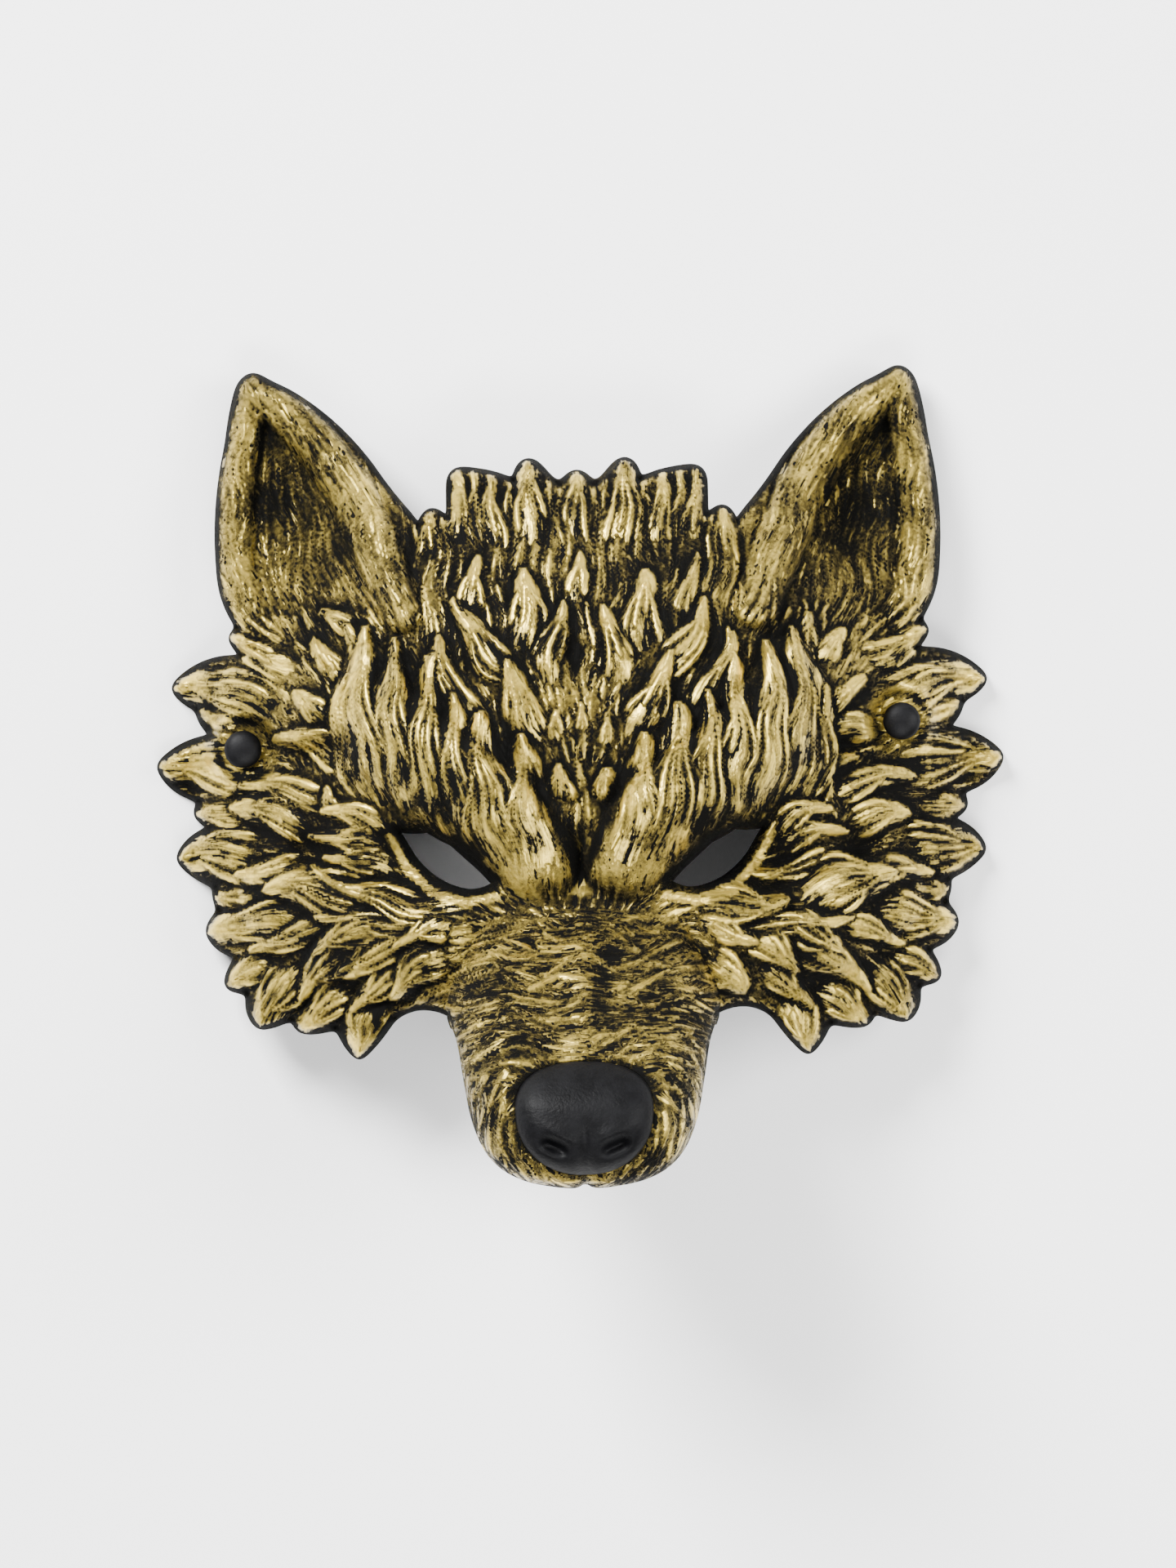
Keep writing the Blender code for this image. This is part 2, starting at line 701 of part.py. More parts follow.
def surface_plan(boundary, rings, band, pocket, extra, step):
    """Points, triangles and loop spans of one side of the shell."""
    points = []
    edges = []
    spans = []
    seats = [circle(place, RIVET_SEAT_RADIUS * SEAT_RING_SHARE, SEAT_SIDES) for place in RIVETS]
    closed = boundary + pocket + seats
    for loop in closed:
        spans.append((len(points), len(loop)))
        edges += loop_edges(len(points), len(loop))
        points += loop
    for ring in rings:
        start = len(points)
        points += ring
        edges += [(start + number, start + number + 1) for number in range(len(ring) - 1)]
    dense = []
    for loop in closed:
        for (x0, y0), (x1, y1) in zip(loop, loop[1:] + loop[:1]):
            dense += [(x0, y0), ((x0 + x1) / 2, (y0 + y1) / 2)]
    for ring in rings:
        for (x0, y0), (x1, y1) in zip(ring, ring[1:]):
            dense += [(x0, y0), ((x0 + x1) / 2, (y0 + y1) / 2), (x1, y1)]
    wanted = [point for point in extra if inside(np.array([point]), boundary[0])[0]]
    kept = far_enough(wanted, dense, POINT_GAP)
    honeycomb = far_enough(fill_points(step), dense + kept, step * HONEYCOMB_GAP_SHARE)
    free = np.array(kept + honeycomb)
    allowed = inside(free, boundary[0])
    for hole in boundary[1:]:
        allowed &= ~inside(free, hole)
    away, _ = nearest_on_line(free, boundary[0] + [boundary[0][0]])
    allowed &= away > POINT_GAP * 0.6
    for loop in pocket[:1] + seats:
        allowed &= ~inside(free, loop)
    if band:
        allowed &= ~(inside(free, band[0]) & ~inside(free, band[1]))
    points += [tuple(point) for point in free[allowed]]
    faces = triangulate(points, edges, [boundary[0]], boundary[1:])
    return np.array(points), faces, spans[:len(boundary)]


def make_material(name, colour, roughness):
    material = bpy.data.materials.new(name)
    material.use_nodes = True
    shader = material.node_tree.nodes["Principled BSDF"]
    shader.inputs["Base Color"].default_value = (*colour, 1.0)
    shader.inputs["Roughness"].default_value = roughness
    return material


def add_object(name, points, faces, material):
    mesh = bpy.data.meshes.new(name)
    mesh.from_pydata([tuple(map(float, point)) for point in points], [], faces)
    mesh.validate()
    mesh.materials.append(material)
    part = bpy.data.objects.new(name, mesh)
    bpy.context.scene.collection.objects.link(part)
    work = bmesh.new()
    work.from_mesh(mesh)
    bmesh.ops.remove_doubles(work, verts=work.verts, dist=WELD)
    bmesh.ops.recalc_face_normals(work, faces=work.faces)
    work.to_mesh(mesh)
    work.free()
    mesh.shade_smooth()
    mesh.set_sharp_from_angle(angle=SHARP_ANGLE)
    return part


def make_shell(material):
    holes = [eye_right, eye_left] + [
        circle(place, RIVET_POST_RADIUS + CLEARANCE, SEAT_SIDES) for place in RIVETS]
    reach = MUZZLE_SHOULDER * ACROSS
    wall_lines = [offset_line(foot_line, reach * share) for share in OUTER_RINGS]
    rings = [stretch for line in wall_lines for stretch in clear_of_nose(line)]
    pocket = [nose_loop(CLEARANCE * 2.0), nose_loop(CLEARANCE)]
    pocket += [nose_loop(0.0, shrink) for shrink in NOSE_BED_RINGS]
    front, front_faces, front_spans = surface_plan(
        [outline] + holes, rings, (wall_lines[0], wall_lines[-1]), pocket,
        roll_points()[::-1] + lock_points(), FRONT_STEP)
    heights = front_out(front)
    bed = muzzle_out(front, 0.0) - NOSE_POCKET_DEPTH
    heights = np.where(inside(front, nose_loop(CLEARANCE * 1.2)), bed, heights)
    front = np.column_stack([front, heights])

    inner_foot = offset_line(foot_line, FOAM_WALL)
    back_outline = list(outline)
    mouth_count = len(mouth_line)
    for number in range(mouth_count):
        share = smooth_step(min(number, mouth_count - 1 - number) / 3.0)
        outer = mouth_line[mouth_count - 1 - number]
        inner = inner_foot[lip_start + mouth_count - 1 - number]
        back_outline[outline_arch + number] = (
            outer[0] + (inner[0] - outer[0]) * share,
            outer[1] + (inner[1] - outer[1]) * share,
        )
    inner_rings = [offset_line(foot_line, FOAM_WALL + reach * share) for share in INNER_RINGS]
    back, back_faces, back_spans = surface_plan(
        [back_outline] + holes, inner_rings, (inner_rings[0], inner_rings[-1]), [], [], BACK_STEP)
    back = np.column_stack([back, back_out(back)])

    points = np.vstack([front, back])
    shift = len(front)
    faces = list(front_faces)
    faces += [[corner + shift for corner in face[::-1]] for face in back_faces]
    for (front_start, count), (back_start, _) in zip(front_spans, back_spans):
        for number in range(count):
            following = (number + 1) % count
            a = front_start + number
            b = front_start + following
            c = shift + back_start + following
            d = shift + back_start + number
            faces += [[a, b, c], [a, c, d]]
    return add_object("mask_shell", points, faces, material)


def make_nose(material):
    """The pad: a flat-sided plug in the pocket with a domed top and two nostril dents."""
    rings = [(1.0, "under"), (1.0, "side")] + [(shrink, "top") for shrink in NOSE_TOP_RINGS]
    points = []
    for shrink, level in rings:
        loop = np.array(nose_loop(0.0, shrink))
        surface = muzzle_out(loop, 0.0)
        if level == "under":
            heights = surface - NOSE_POCKET_DEPTH + CLEARANCE
        elif level == "side":
            heights = surface + CLEARANCE
        else:
            heights = surface + NOSE_DOME * (1.0 - shrink**3) + CLEARANCE * 2.0
            away_x = np.abs(loop[:, 0]) - NOSTRIL_ACROSS * ACROSS
            away_y = loop[:, 1] - NOSTRIL_UP * UP
            across = away_x / (NOSTRIL_HALF_ACROSS * ACROSS)
            up = away_y / (NOSTRIL_HALF_UP * UP)
            heights -= NOSTRIL_DEPTH * np.exp(-(across**2 + up**2))
        points += [tuple(point) for point in np.column_stack([loop, heights])]
    centre = np.array([[0.0, NOSE_UP * UP]])
    surface = float(muzzle_out(centre, 0.0)[0])
    top = len(points)
    points.append((0.0, NOSE_UP * UP, surface + NOSE_DOME))
    faces = []
    for ring in range(len(rings) - 1):
        for number in range(NOSE_SIDES):
            a = ring * NOSE_SIDES + number
            b = ring * NOSE_SIDES + (number + 1) % NOSE_SIDES
            faces += [[a, b, b + NOSE_SIDES], [a, b + NOSE_SIDES, a + NOSE_SIDES]]
    last = (len(rings) - 1) * NOSE_SIDES
    for number in range(NOSE_SIDES):
        faces.append([last + number, last + (number + 1) % NOSE_SIDES, top])
    under = []
    for shrink in NOSE_BED_RINGS:
        loop = np.array(nose_loop(0.0, shrink))
        heights = muzzle_out(loop, 0.0) - NOSE_POCKET_DEPTH + CLEARANCE
        under.append(len(points))
        points += [tuple(point) for point in np.column_stack([loop, heights])]
    bottom = len(points)
    points.append((0.0, NOSE_UP * UP, surface - NOSE_POCKET_DEPTH + CLEARANCE))
    outer = 0
    for inner in under:
        for number in range(NOSE_SIDES):
            following = (number + 1) % NOSE_SIDES
            a, b = outer + number, outer + following
            c, d = inner + following, inner + number
            faces += [[b, a, d], [b, d, c]]
        outer = inner
    for number in range(NOSE_SIDES):
        faces.append([outer + (number + 1) % NOSE_SIDES, outer + number, bottom])
    return add_object("nose", points, faces, material)


def make_rivet(place, material):
    """Cap, post and flange turned as one piece about the post."""
    centre = np.array([[place.across * ACROSS, place.up * UP]])
    seat = float(face_out(centre)[0]) + RIVET_SEAT_RISE
    under = seat - FOAM_WALL
    cap = seat + CLEARANCE
    profile = [
        (RIVET_FLANGE_RADIUS, under - CLEARANCE - RIVET_FLANGE_THICKNESS),
        (RIVET_FLANGE_RADIUS, under - CLEARANCE),
        (RIVET_POST_RADIUS, under - CLEARANCE),
        (RIVET_POST_RADIUS, cap),
        (RIVET_CAP_RADIUS, cap),
    ]
    profile += [
        (RIVET_CAP_RADIUS * across, cap + RIVET_CAP_HEIGHT * rise) for across, rise in RIVET_DOME]
    x, y = centre[0]
    points = []
    for radius, height in profile:
        for number in range(RIVET_SIDES):
            turn = 2.0 * math.pi * number / RIVET_SIDES
            points.append((x + radius * math.cos(turn), y + radius * math.sin(turn), height))
    faces = [list(range(RIVET_SIDES))[::-1]]
    for ring in range(len(profile) - 1):
        for number in range(RIVET_SIDES):
            a = ring * RIVET_SIDES + number
            b = ring * RIVET_SIDES + (number + 1) % RIVET_SIDES
            faces.append([a, b, b + RIVET_SIDES, a + RIVET_SIDES])
    last = (len(profile) - 1) * RIVET_SIDES
    faces.append([last + number for number in range(RIVET_SIDES)])
    return add_object(place.name, points, faces, material)


clear_scene()
foam = make_material("painted foam", (0.30, 0.24, 0.10), 0.55)
black = make_material("black foam skin", (0.02, 0.02, 0.02), 0.5)
plastic = make_material("black rivet plastic", (0.03, 0.03, 0.035), 0.45)
make_shell(foam)
make_nose(black)
for rivet_place in RIVETS:
    make_rivet(rivet_place, plastic)
for part in bpy.data.objects:
    print(part.name, len(part.data.polygons), [round(v, 4) for v in part.dimensions])
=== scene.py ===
# %% [markdown]
# # A foam wolf mask, built from a photograph
#
# The real thing is one soft foam moulding: a sculptor cut fur locks into a model, foam was
# cast over it, the skin was sprayed black, and gold paint was dragged over the high spots.
# This script goes through the same steps: a smooth face, fur cut into it lock by lock, and
# paint that finds the ridges by itself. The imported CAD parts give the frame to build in.

import math
from collections import namedtuple

import bpy
import numpy as np
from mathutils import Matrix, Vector
from mathutils.geometry import delaunay_2d_cdt


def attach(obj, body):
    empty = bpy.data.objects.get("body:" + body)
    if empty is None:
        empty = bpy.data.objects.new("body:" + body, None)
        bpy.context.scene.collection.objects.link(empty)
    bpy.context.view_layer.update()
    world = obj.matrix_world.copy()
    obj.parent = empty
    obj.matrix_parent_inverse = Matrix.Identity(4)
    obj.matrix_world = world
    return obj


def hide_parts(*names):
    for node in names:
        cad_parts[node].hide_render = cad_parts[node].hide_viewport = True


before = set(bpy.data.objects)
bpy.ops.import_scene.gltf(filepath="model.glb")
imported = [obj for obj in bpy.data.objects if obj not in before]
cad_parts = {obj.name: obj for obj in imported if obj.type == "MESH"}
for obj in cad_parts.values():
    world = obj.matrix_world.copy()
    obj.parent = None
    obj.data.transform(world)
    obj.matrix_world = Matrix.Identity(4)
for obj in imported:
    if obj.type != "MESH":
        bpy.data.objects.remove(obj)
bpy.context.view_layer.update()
MM = 0.001
SEED = 7

# %% [markdown]
# ## The face's sizes
#
# All tables here are in millimetres in the mask's own frame: x across, y up the face, z out
# of it, lying face up. They are the same tables that the CAD part is made from, because the
# fine surface has to sit in the same place. A knot ends one edge of the outline, and its
# bow says how far that edge swells outwards, as a share of its length.

# %% Outline, dome and muzzle tables
Knot = namedtuple("Knot", "x y bow")
FRINGE_EDGE = [
    Knot(0, 90, 0.0),
    Knot(5, 85.5, 0.12),
    Knot(8, 88, 0.0),
    Knot(13, 93.4, 0.06),
    Knot(16.5, 92.4, 0.15),
    Knot(18.5, 86.8, 0.1),
    Knot(25.5, 89.6, 0.05),
    Knot(35.5, 91, 0.02),
    Knot(38, 87.5, 0.18),
    Knot(38, 76, 0.0),
    Knot(43, 79.3, 0.08),
    Knot(46.5, 73.5, 0.15),
]
EAR_EDGE = [
    Knot(48.5, 77, 0.05),
    Knot(60, 92, -0.02),
    Knot(70, 103.5, 0.02),
    Knot(85, 114.8, 0.03),
    Knot(94.5, 120, -0.03),
    Knot(100, 115, 0.15),
    Knot(103, 99, 0.02),
    Knot(106, 80, 0.02),
    Knot(106, 62, 0.02),
    Knot(100, 44.3, 0.08),
]
CHEEK_EDGE = [
    Knot(103.5, 42.2, 0.1),
    Knot(99, 36.3, 0.05),
    Knot(120.5, 27.5, 0.13),
    Knot(112.8, 21, 0.1),
    Knot(112.5, 18.5, 0.0),
    Knot(108.3, 13.2, 0.08),
    Knot(125, 4.5, 0.1),
    Knot(112.3, -6, 0.13),
    Knot(113.8, -10.5, 0.1),
    Knot(109.2, -13.8, 0.08),
    Knot(119.5, -23, 0.12),
    Knot(107.6, -31.5, 0.08),
    Knot(108.8, -35, 0.1),
    Knot(106.4, -38.5, 0.0),
    Knot(111, -44.5, 0.12),
    Knot(101.5, -52, 0.14),
    Knot(105.5, -61, 0.1),
    Knot(98.5, -62.5, 0.08),
    Knot(95.3, -73.5, 0.16),
    Knot(85.5, -70.3, 0.04),
    Knot(83, -74.5, 0.1),
    Knot(72.3, -73, 0.06),
    Knot(65.8, -82.8, 0.08),
    Knot(55.5, -70.7, 0.04),
    Knot(39.5, -69.5, -0.16),
]
EYE_HOLE = [
    Knot(53.5, -15.3, 0.0),
    Knot(45, -15.6, 0.05),
    Knot(38, -19.5, 0.02),
    Knot(32, -25, 0.0),
    Knot(26, -31.2, -0.02),
    Knot(34, -33, -0.1),
    Knot(42.5, -29.5, -0.05),
    Knot(49, -23, -0.04),
]
SECTION = [(0.0, 1.0), (0.16, 0.98), (0.32, 0.89), (0.48, 0.72), (0.64, 0.50), (0.76, 0.31),
           (0.86, 0.13), (0.93, 0.0), (1.02, 0.0)]
CROWN = [(-95, 44), (-80, 52), (-62, 58), (-40, 65), (-15, 70), (10, 70), (30, 66), (50, 57),
         (75, 43), (95, 31), (122, 22)]
RIM_OUT = 4.7
HALF_WIDTH = 125.0
FOAM_WALL = 5.0

Foot = namedtuple("Foot", "x y out")
MUZZLE_FOOT = [
    Foot(24, -32, 50),
    Foot(30, -43, 52),
    Foot(35, -54, 53),
    Foot(38.5, -63, 52),
    Foot(39.5, -69.5, 51),
    Foot(37, -78, 57),
    Foot(35, -90, 68),
    Foot(33, -100, 78),
    Foot(29.5, -108.5, 86),
    Foot(24.5, -114.2, 90),
    Foot(17.5, -117.8, 93),
    Foot(9, -119.6, 95),
    Foot(3, -120, 96),
    Foot(0, -118.6, 96.5),
]
ARCH_FOOT = 4
MUZZLE_RIDGE = [(-122, 117), (-110, 116.5), (-97, 114.5), (-85, 108), (-70, 97), (-58, 87),
                (-46, 76), (-36, 64), (-26, 48)]
MUZZLE_SHOULDER = 24.0
MUZZLE_ROUND = 2.6
MUZZLE_BLEND = 8.0
RIVETS = {"rivet_left": (-99.0, 9.0), "rivet_right": (94.5, 15.0)}
RIVET_SEAT = 7.0
RIVET_RISE = 1.6

# %% [markdown]
# ## Padding and hollows
#
# Rolls are the fat soft forms under the fur: brows, the ears' two folded edges, cheekbones,
# temples and whisker pads. Each is a chain of knots with a half width and a height, and its
# section is half a round. Dents are the hollows: eye sockets, ear cups, the furrow between
# the brows.

# %% Rolls and dents
Roll = namedtuple("Roll", "x y half height")
ROLLS = [
    [Roll(13, -23, 12.5, 7), Roll(24, -12, 13.5, 9), Roll(42, 0, 15, 9), Roll(56, 13, 14, 8),
     Roll(61, 32, 8, 4)],
    [Roll(98, 46, 7, 3), Roll(101.5, 62, 6.5, 6), Roll(101, 82, 6, 7), Roll(98, 102, 5.5, 7),
     Roll(95, 114, 5, 6)],
    [Roll(52, 49, 6.5, 6), Roll(58, 64, 7.5, 8), Roll(66, 84, 7.5, 8), Roll(77, 99, 7, 8),
     Roll(88, 110, 6, 7), Roll(94, 115, 5, 6)],
    [Roll(46, -52, 14, 3), Roll(68, -46, 16, 5), Roll(88, -36, 13, 4)],
    [Roll(62, 20, 10, 2), Roll(80, 22, 13, 4), Roll(98, 24, 10, 3)],
]
LIDS = [
    [Roll(56, -17, 1.6, 1.0), Roll(51, -26.5, 1.8, 1.7), Roll(44, -33.5, 1.9, 1.9),
     Roll(34, -36.8, 1.9, 1.9), Roll(25, -35, 1.6, 1.2)],
]
Dent = namedtuple("Dent", "x y half_x half_y depth")
DENTS = [
    Dent(44, -25, 22, 14, 11),
    Dent(82, 78, 15, 27, 8),
    Dent(76, 8, 9, 7, 4),
    Dent(81, -22, 8, 7, 4),
    Dent(0, 34, 5, 9, 3),
    Dent(0, -20, 5, 16, 4),
]
PADS = [
    Dent(25, -80, 12, 15, 2.6),
    Dent(0, -62, 6, 28, 1.6),
]

# %% [markdown]
# ## The fur locks
#
# Each row is one sculpted lock: root, tip, full width and bend (a share of its length, to
# the left when positive). The two sides of the real mask were cut by hand and differ, so
# the inner locks are listed for each side. The tufts that make the outline are the same on
# both sides, as in the CAD part. Guides aren't cut: they only say which way the fine hair
# lies in the ears.

# %% Lock tables
Lock = namedtuple("Lock", "x0 y0 x1 y1 width bend")
TUFTS = [
    # fringe
    Lock(43.5, 57, 43.3, 79.8, 8, 0.0),
    Lock(39.6, 55, 39.2, 77, 5.5, 0.0),
    Lock(33.6, 58, 35.8, 91.8, 9, 0.0),
    Lock(29.6, 60, 30.2, 90.8, 6.5, 0.0),
    Lock(24.2, 60, 25.2, 89.8, 8, 0.0),
    Lock(19.6, 64, 19.4, 87.8, 5, 0.0),
    Lock(13.6, 60, 14.2, 94.2, 11.5, 0.0),
    Lock(9.2, 66, 8.6, 88.5, 4.5, 0.03),
    Lock(4.6, 66, 4.8, 86, 4, 0.0),
    # cheek
    Lock(79, 31, 104, 42.4, 10.5, -0.05),
    Lock(84, 16, 121.2, 27.6, 15.5, 0.1),
    Lock(97, 15.5, 113.2, 20, 8, 0.04),
    Lock(86, -1.5, 125.6, 4.6, 15.5, 0.05),
    Lock(96, -9.5, 114.2, -10.6, 8.5, 0.0),
    Lock(90, -25, 120, -22.6, 16.5, 0.07),
    Lock(93, -34.5, 109.2, -34.9, 8, 0.0),
    Lock(79, -42.5, 111.6, -44.5, 14, 0.04),
    Lock(86, -52, 106.2, -61.4, 9.5, 0.05),
    Lock(76, -53, 95.4, -74.2, 15, 0.13),
    Lock(64, -60, 83.4, -75, 11.5, 0.08),
    Lock(58, -60, 66, -83.6, 13, 0.05),
]
LEFT_LOCKS = [
    # forehead
    Lock(-17, 34, -17, 60, 10, 0.0),
    Lock(-33, 46, -32, 65, 7.5, 0.0),
    Lock(-10.5, 24, -6, 50, 8, 0.06),
    Lock(-13, 27, -38, 51.5, 9, 0.12),
    Lock(-29, 13, -43.5, 41.5, 8, 0.08),
    Lock(-38, 14, -45.5, 35, 6, 0.05),
    Lock(-11, 8, -22, 33, 9.5, 0.08),
    Lock(-6, 7, -8.8, 20, 4, 0.05),
    Lock(-6.5, -9, -8, 3, 7, 0.0),
    # brow
    Lock(-11, -30, -18, 12, 12, 0.05),
    Lock(-19, -30, -31.5, 18, 15, 0.06),
    Lock(-29, -22, -38.5, 24, 11, 0.06),
    Lock(-40, -16, -44, 35.5, 10, 0.08),
    Lock(-47, -14, -55, 38.5, 11, 0.09),
    Lock(-52, -14, -64, 43, 13, 0.14),
    Lock(-59, -10, -70.5, 29, 8, 0.13),
    # beside and under the eye
    Lock(-56, -21, -77, -9.5, 7.5, -0.1),
    Lock(-55, -25, -81, -17.5, 7.5, -0.08),
    Lock(-52, -30, -76, -23.5, 7.5, -0.06),
    Lock(-73, -15, -75, -2.5, 5, 0.0),
    Lock(-36, -36, -79, -27.5, 9.5, 0.1),
    Lock(-43, -41, -79, -41, 7.5, 0.05),
    # temple
    Lock(-74, 15, -86, 25.5, 7, 0.0),
    Lock(-71, 28, -79, 39.5, 7, 0.05),
    Lock(-63.5, 29, -69, 45, 7, 0.0),
    Lock(-67, 41, -78, 48, 6, -0.1),
    Lock(-72, 3, -91, 11.5, 9, -0.1),
    Lock(-77, -9, -101, -2.5, 8.5, -0.06),
    Lock(-83, -17, -104.5, -8.5, 10.5, -0.08),
    # cheek
    Lock(-66, -41, -93.5, -32.5, 14, -0.12),
    Lock(-77, -44, -98, -51.5, 7, 0.0),
    Lock(-58, -43, -79, -52.5, 10.5, -0.04),
    Lock(-50, -48, -73, -58.5, 9.5, -0.04),
    Lock(-39, -43, -55, -50, 8.5, -0.05),
    Lock(-42, -54, -57, -65, 9.5, -0.08),
    Lock(-64, -50, -84, -65, 10, -0.08),
    Lock(-53, -58, -68, -69, 9, -0.06),
    Lock(-84, -28, -103, -29, 8, 0.0),
]
RIGHT_LOCKS = [
    # forehead
    Lock(17, 34, 17, 61, 10, 0.0),
    Lock(29, 46, 32.5, 64, 6, 0.0),
    Lock(9.5, 24, 6, 50, 8, -0.06),
    Lock(15, 27, 36, 52.5, 9, -0.12),
    Lock(30, 14, 43.5, 41.5, 8, -0.06),
    Lock(38, 15, 42, 43, 7, -0.05),
    Lock(11, 10, 24.5, 35.5, 9.5, -0.08),
    Lock(5, 7, 6.8, 18, 4, 0.0),
    Lock(6.5, -10, 7, 2.5, 7.5, 0.0),
    # brow
    Lock(11, -30, 17, 12, 12, -0.05),
    Lock(19, -30, 27.5, 20, 15, -0.06),
    Lock(29, -22, 36.5, 24, 11, -0.06),
    Lock(40, -16, 43, 35.5, 10, -0.06),
    Lock(47, -14, 54, 38.5, 11, -0.08),
    Lock(52, -14, 61, 43, 13, -0.14),
    Lock(59, -10, 70, 27, 8, -0.13),
    # beside and under the eye
    Lock(54, -20, 73, -8.5, 7.5, 0.1),
    Lock(53, -23, 76, -15.5, 7, 0.08),
    Lock(72, -25, 50, -29, 6.5, 0.0),
    Lock(73, -13, 72.3, -0.5, 4.5, 0.0),
    Lock(36, -36, 60, -36, 11, -0.05),
    Lock(43, -42, 78, -41, 7.5, -0.05),
    # temple
    Lock(72, 20, 82, 28.5, 6.5, 0.0),
    Lock(69, 34, 77, 42.5, 6.5, 0.0),
    Lock(66.5, 33, 64.5, 48, 6.5, 0.0),
    Lock(72, 11, 89, 14.5, 7.5, 0.08),
    Lock(69, 1, 79.5, 6.5, 4.5, 0.1),
    Lock(74, -6, 96, 0.5, 8, 0.06),
    Lock(79, -14.5, 96, -10.5, 8.5, 0.05),
    # cheek
    Lock(67, -39, 91.5, -28, 14.5, 0.12),
    Lock(75, -42, 94, -48.5, 7, 0.0),
    Lock(58, -43, 76, -51.5, 9.5, 0.04),
    Lock(49, -47, 63, -56.5, 9, 0.04),
    Lock(35, -43, 51, -49, 8.5, 0.05),
    Lock(36, -54, 47, -63, 9.5, 0.08),
    Lock(62, -50, 83, -63, 10, 0.08),
    Lock(52, -57, 66, -67, 9, 0.06),
    Lock(83, -27, 102, -28.5, 8, 0.0),
]
MIDDLE_LOCKS = [
    Lock(0, 62, 0, 91, 8.5, 0.0),
    Lock(0, 41, 0, 66, 7.5, 0.0),
    Lock(0, 9, 0, 21, 3.6, 0.0),
    Lock(0, -7, 0, 5, 3.6, 0.0),
]
GUIDES = [
    Lock(50, 46, 57, 62, 4, 0.0),
    Lock(57, 62, 65, 82, 4, 0.0),
    Lock(65, 82, 76, 98, 4, 0.0),
    Lock(76, 98, 92, 113, 4, 0.0),
    Lock(99, 48, 102, 64, 4, 0.0),
    Lock(102, 64, 101.5, 84, 4, 0.0),
    Lock(101.5, 84, 97, 108, 4, 0.0),
    Lock(84, 48, 83, 66, 4, 0.0),
    Lock(74, 50, 76, 72, 4, 0.0),
    Lock(83, 66, 87, 96, 4, 0.0),
    Lock(26, 64, 26, 84, 4, 0.0),
]
# how the mask lies in the photograph: turned a little and moved to one side
TILT = math.radians(0.7)
SHIFT = 1.3
# locks beyond these lines are rooted further back, under the lock behind
FRINGE_FROM, CHEEK_FROM, TEMPLE_FROM = 38, -35, 62
ROOT_FAR, ROOT_NEAR = 0.3, 0.1
FULLER = 1.22


def straightened(lock):
    """From the photograph, where the mask lies turned a little, to the mask's own frame."""
    ends = []
    for x, y in ((lock.x0, lock.y0), (lock.x1, lock.y1)):
        x = x + SHIFT
        ends += [x * math.cos(TILT) + y * math.sin(TILT), y * math.cos(TILT) - x * math.sin(TILT)]
    return lock._replace(x0=ends[0], y0=ends[1], x1=ends[2], y1=ends[3])


def mirrored(lock):
    """The same lock on the other side of the face."""
    return lock._replace(x0=-lock.x0, x1=-lock.x1, bend=-lock.bend)


def rooted(lock):
    """Its root is moved back, under the tip of the lock behind."""
    outer = lock.y0 > FRINGE_FROM or lock.y0 < CHEEK_FROM or abs(lock.x0) > TEMPLE_FROM
    share = ROOT_FAR if outer else ROOT_NEAR
    return lock._replace(
        x0=lock.x0 - (lock.x1 - lock.x0) * share, y0=lock.y0 - (lock.y1 - lock.y0) * share,
        width=lock.width * FULLER)


inner = [rooted(straightened(lock)) for lock in LEFT_LOCKS + RIGHT_LOCKS]
sculpted = inner + MIDDLE_LOCKS + TUFTS + [mirrored(lock) for lock in TUFTS]
print(len(sculpted), "sculpted locks")

# %% [markdown]
# ## Small curve tools
#
# `smooth_rows` reads a table as a smooth curve, and `Chain` is a closed or open line of
# bowed edges that can be asked for a point anywhere along it. Asking again at the halfway
# places is what keeps the tufts round when the mesh gets finer.

# %% Curves
def smooth_rows(where, rows):
    """A smooth curve through a table's rows that never overshoots them."""
    places = np.array([row[0] for row in rows], float)
    values = np.array([row[1] for row in rows], float)
    slopes = np.diff(values) / np.diff(places)
    ends = np.zeros(len(values))
    ends[0], ends[-1] = slopes[0], slopes[-1]
    for row in range(1, len(values) - 1):
        before, after = slopes[row - 1], slopes[row]
        if before * after > 0.0:
            ends[row] = 2.0 * before * after / (before + after)
    held = np.clip(where, places[0], places[-1])
    row = np.clip(np.searchsorted(places, held) - 1, 0, len(places) - 2)
    span = places[row + 1] - places[row]
    share = (held - places[row]) / span
    return (
        (2 * share**3 - 3 * share**2 + 1) * values[row]
        + (share**3 - 2 * share**2 + share) * span * ends[row]
        + (3 * share**2 - 2 * share**3) * values[row + 1]
        + (share**3 - share**2) * span * ends[row + 1]
    )


def smooth_step(share):
    """0 to 1 with soft ends."""
    held = np.clip(share, 0.0, 1.0)
    return held * held * (3.0 - 2.0 * held)


def smooth_max(first, second, blend):
    """The higher of two, with their meeting corner filled."""
    near = np.maximum(blend - np.abs(first - second), 0.0) / blend
    return np.maximum(first, second) + near * near * blend * 0.25


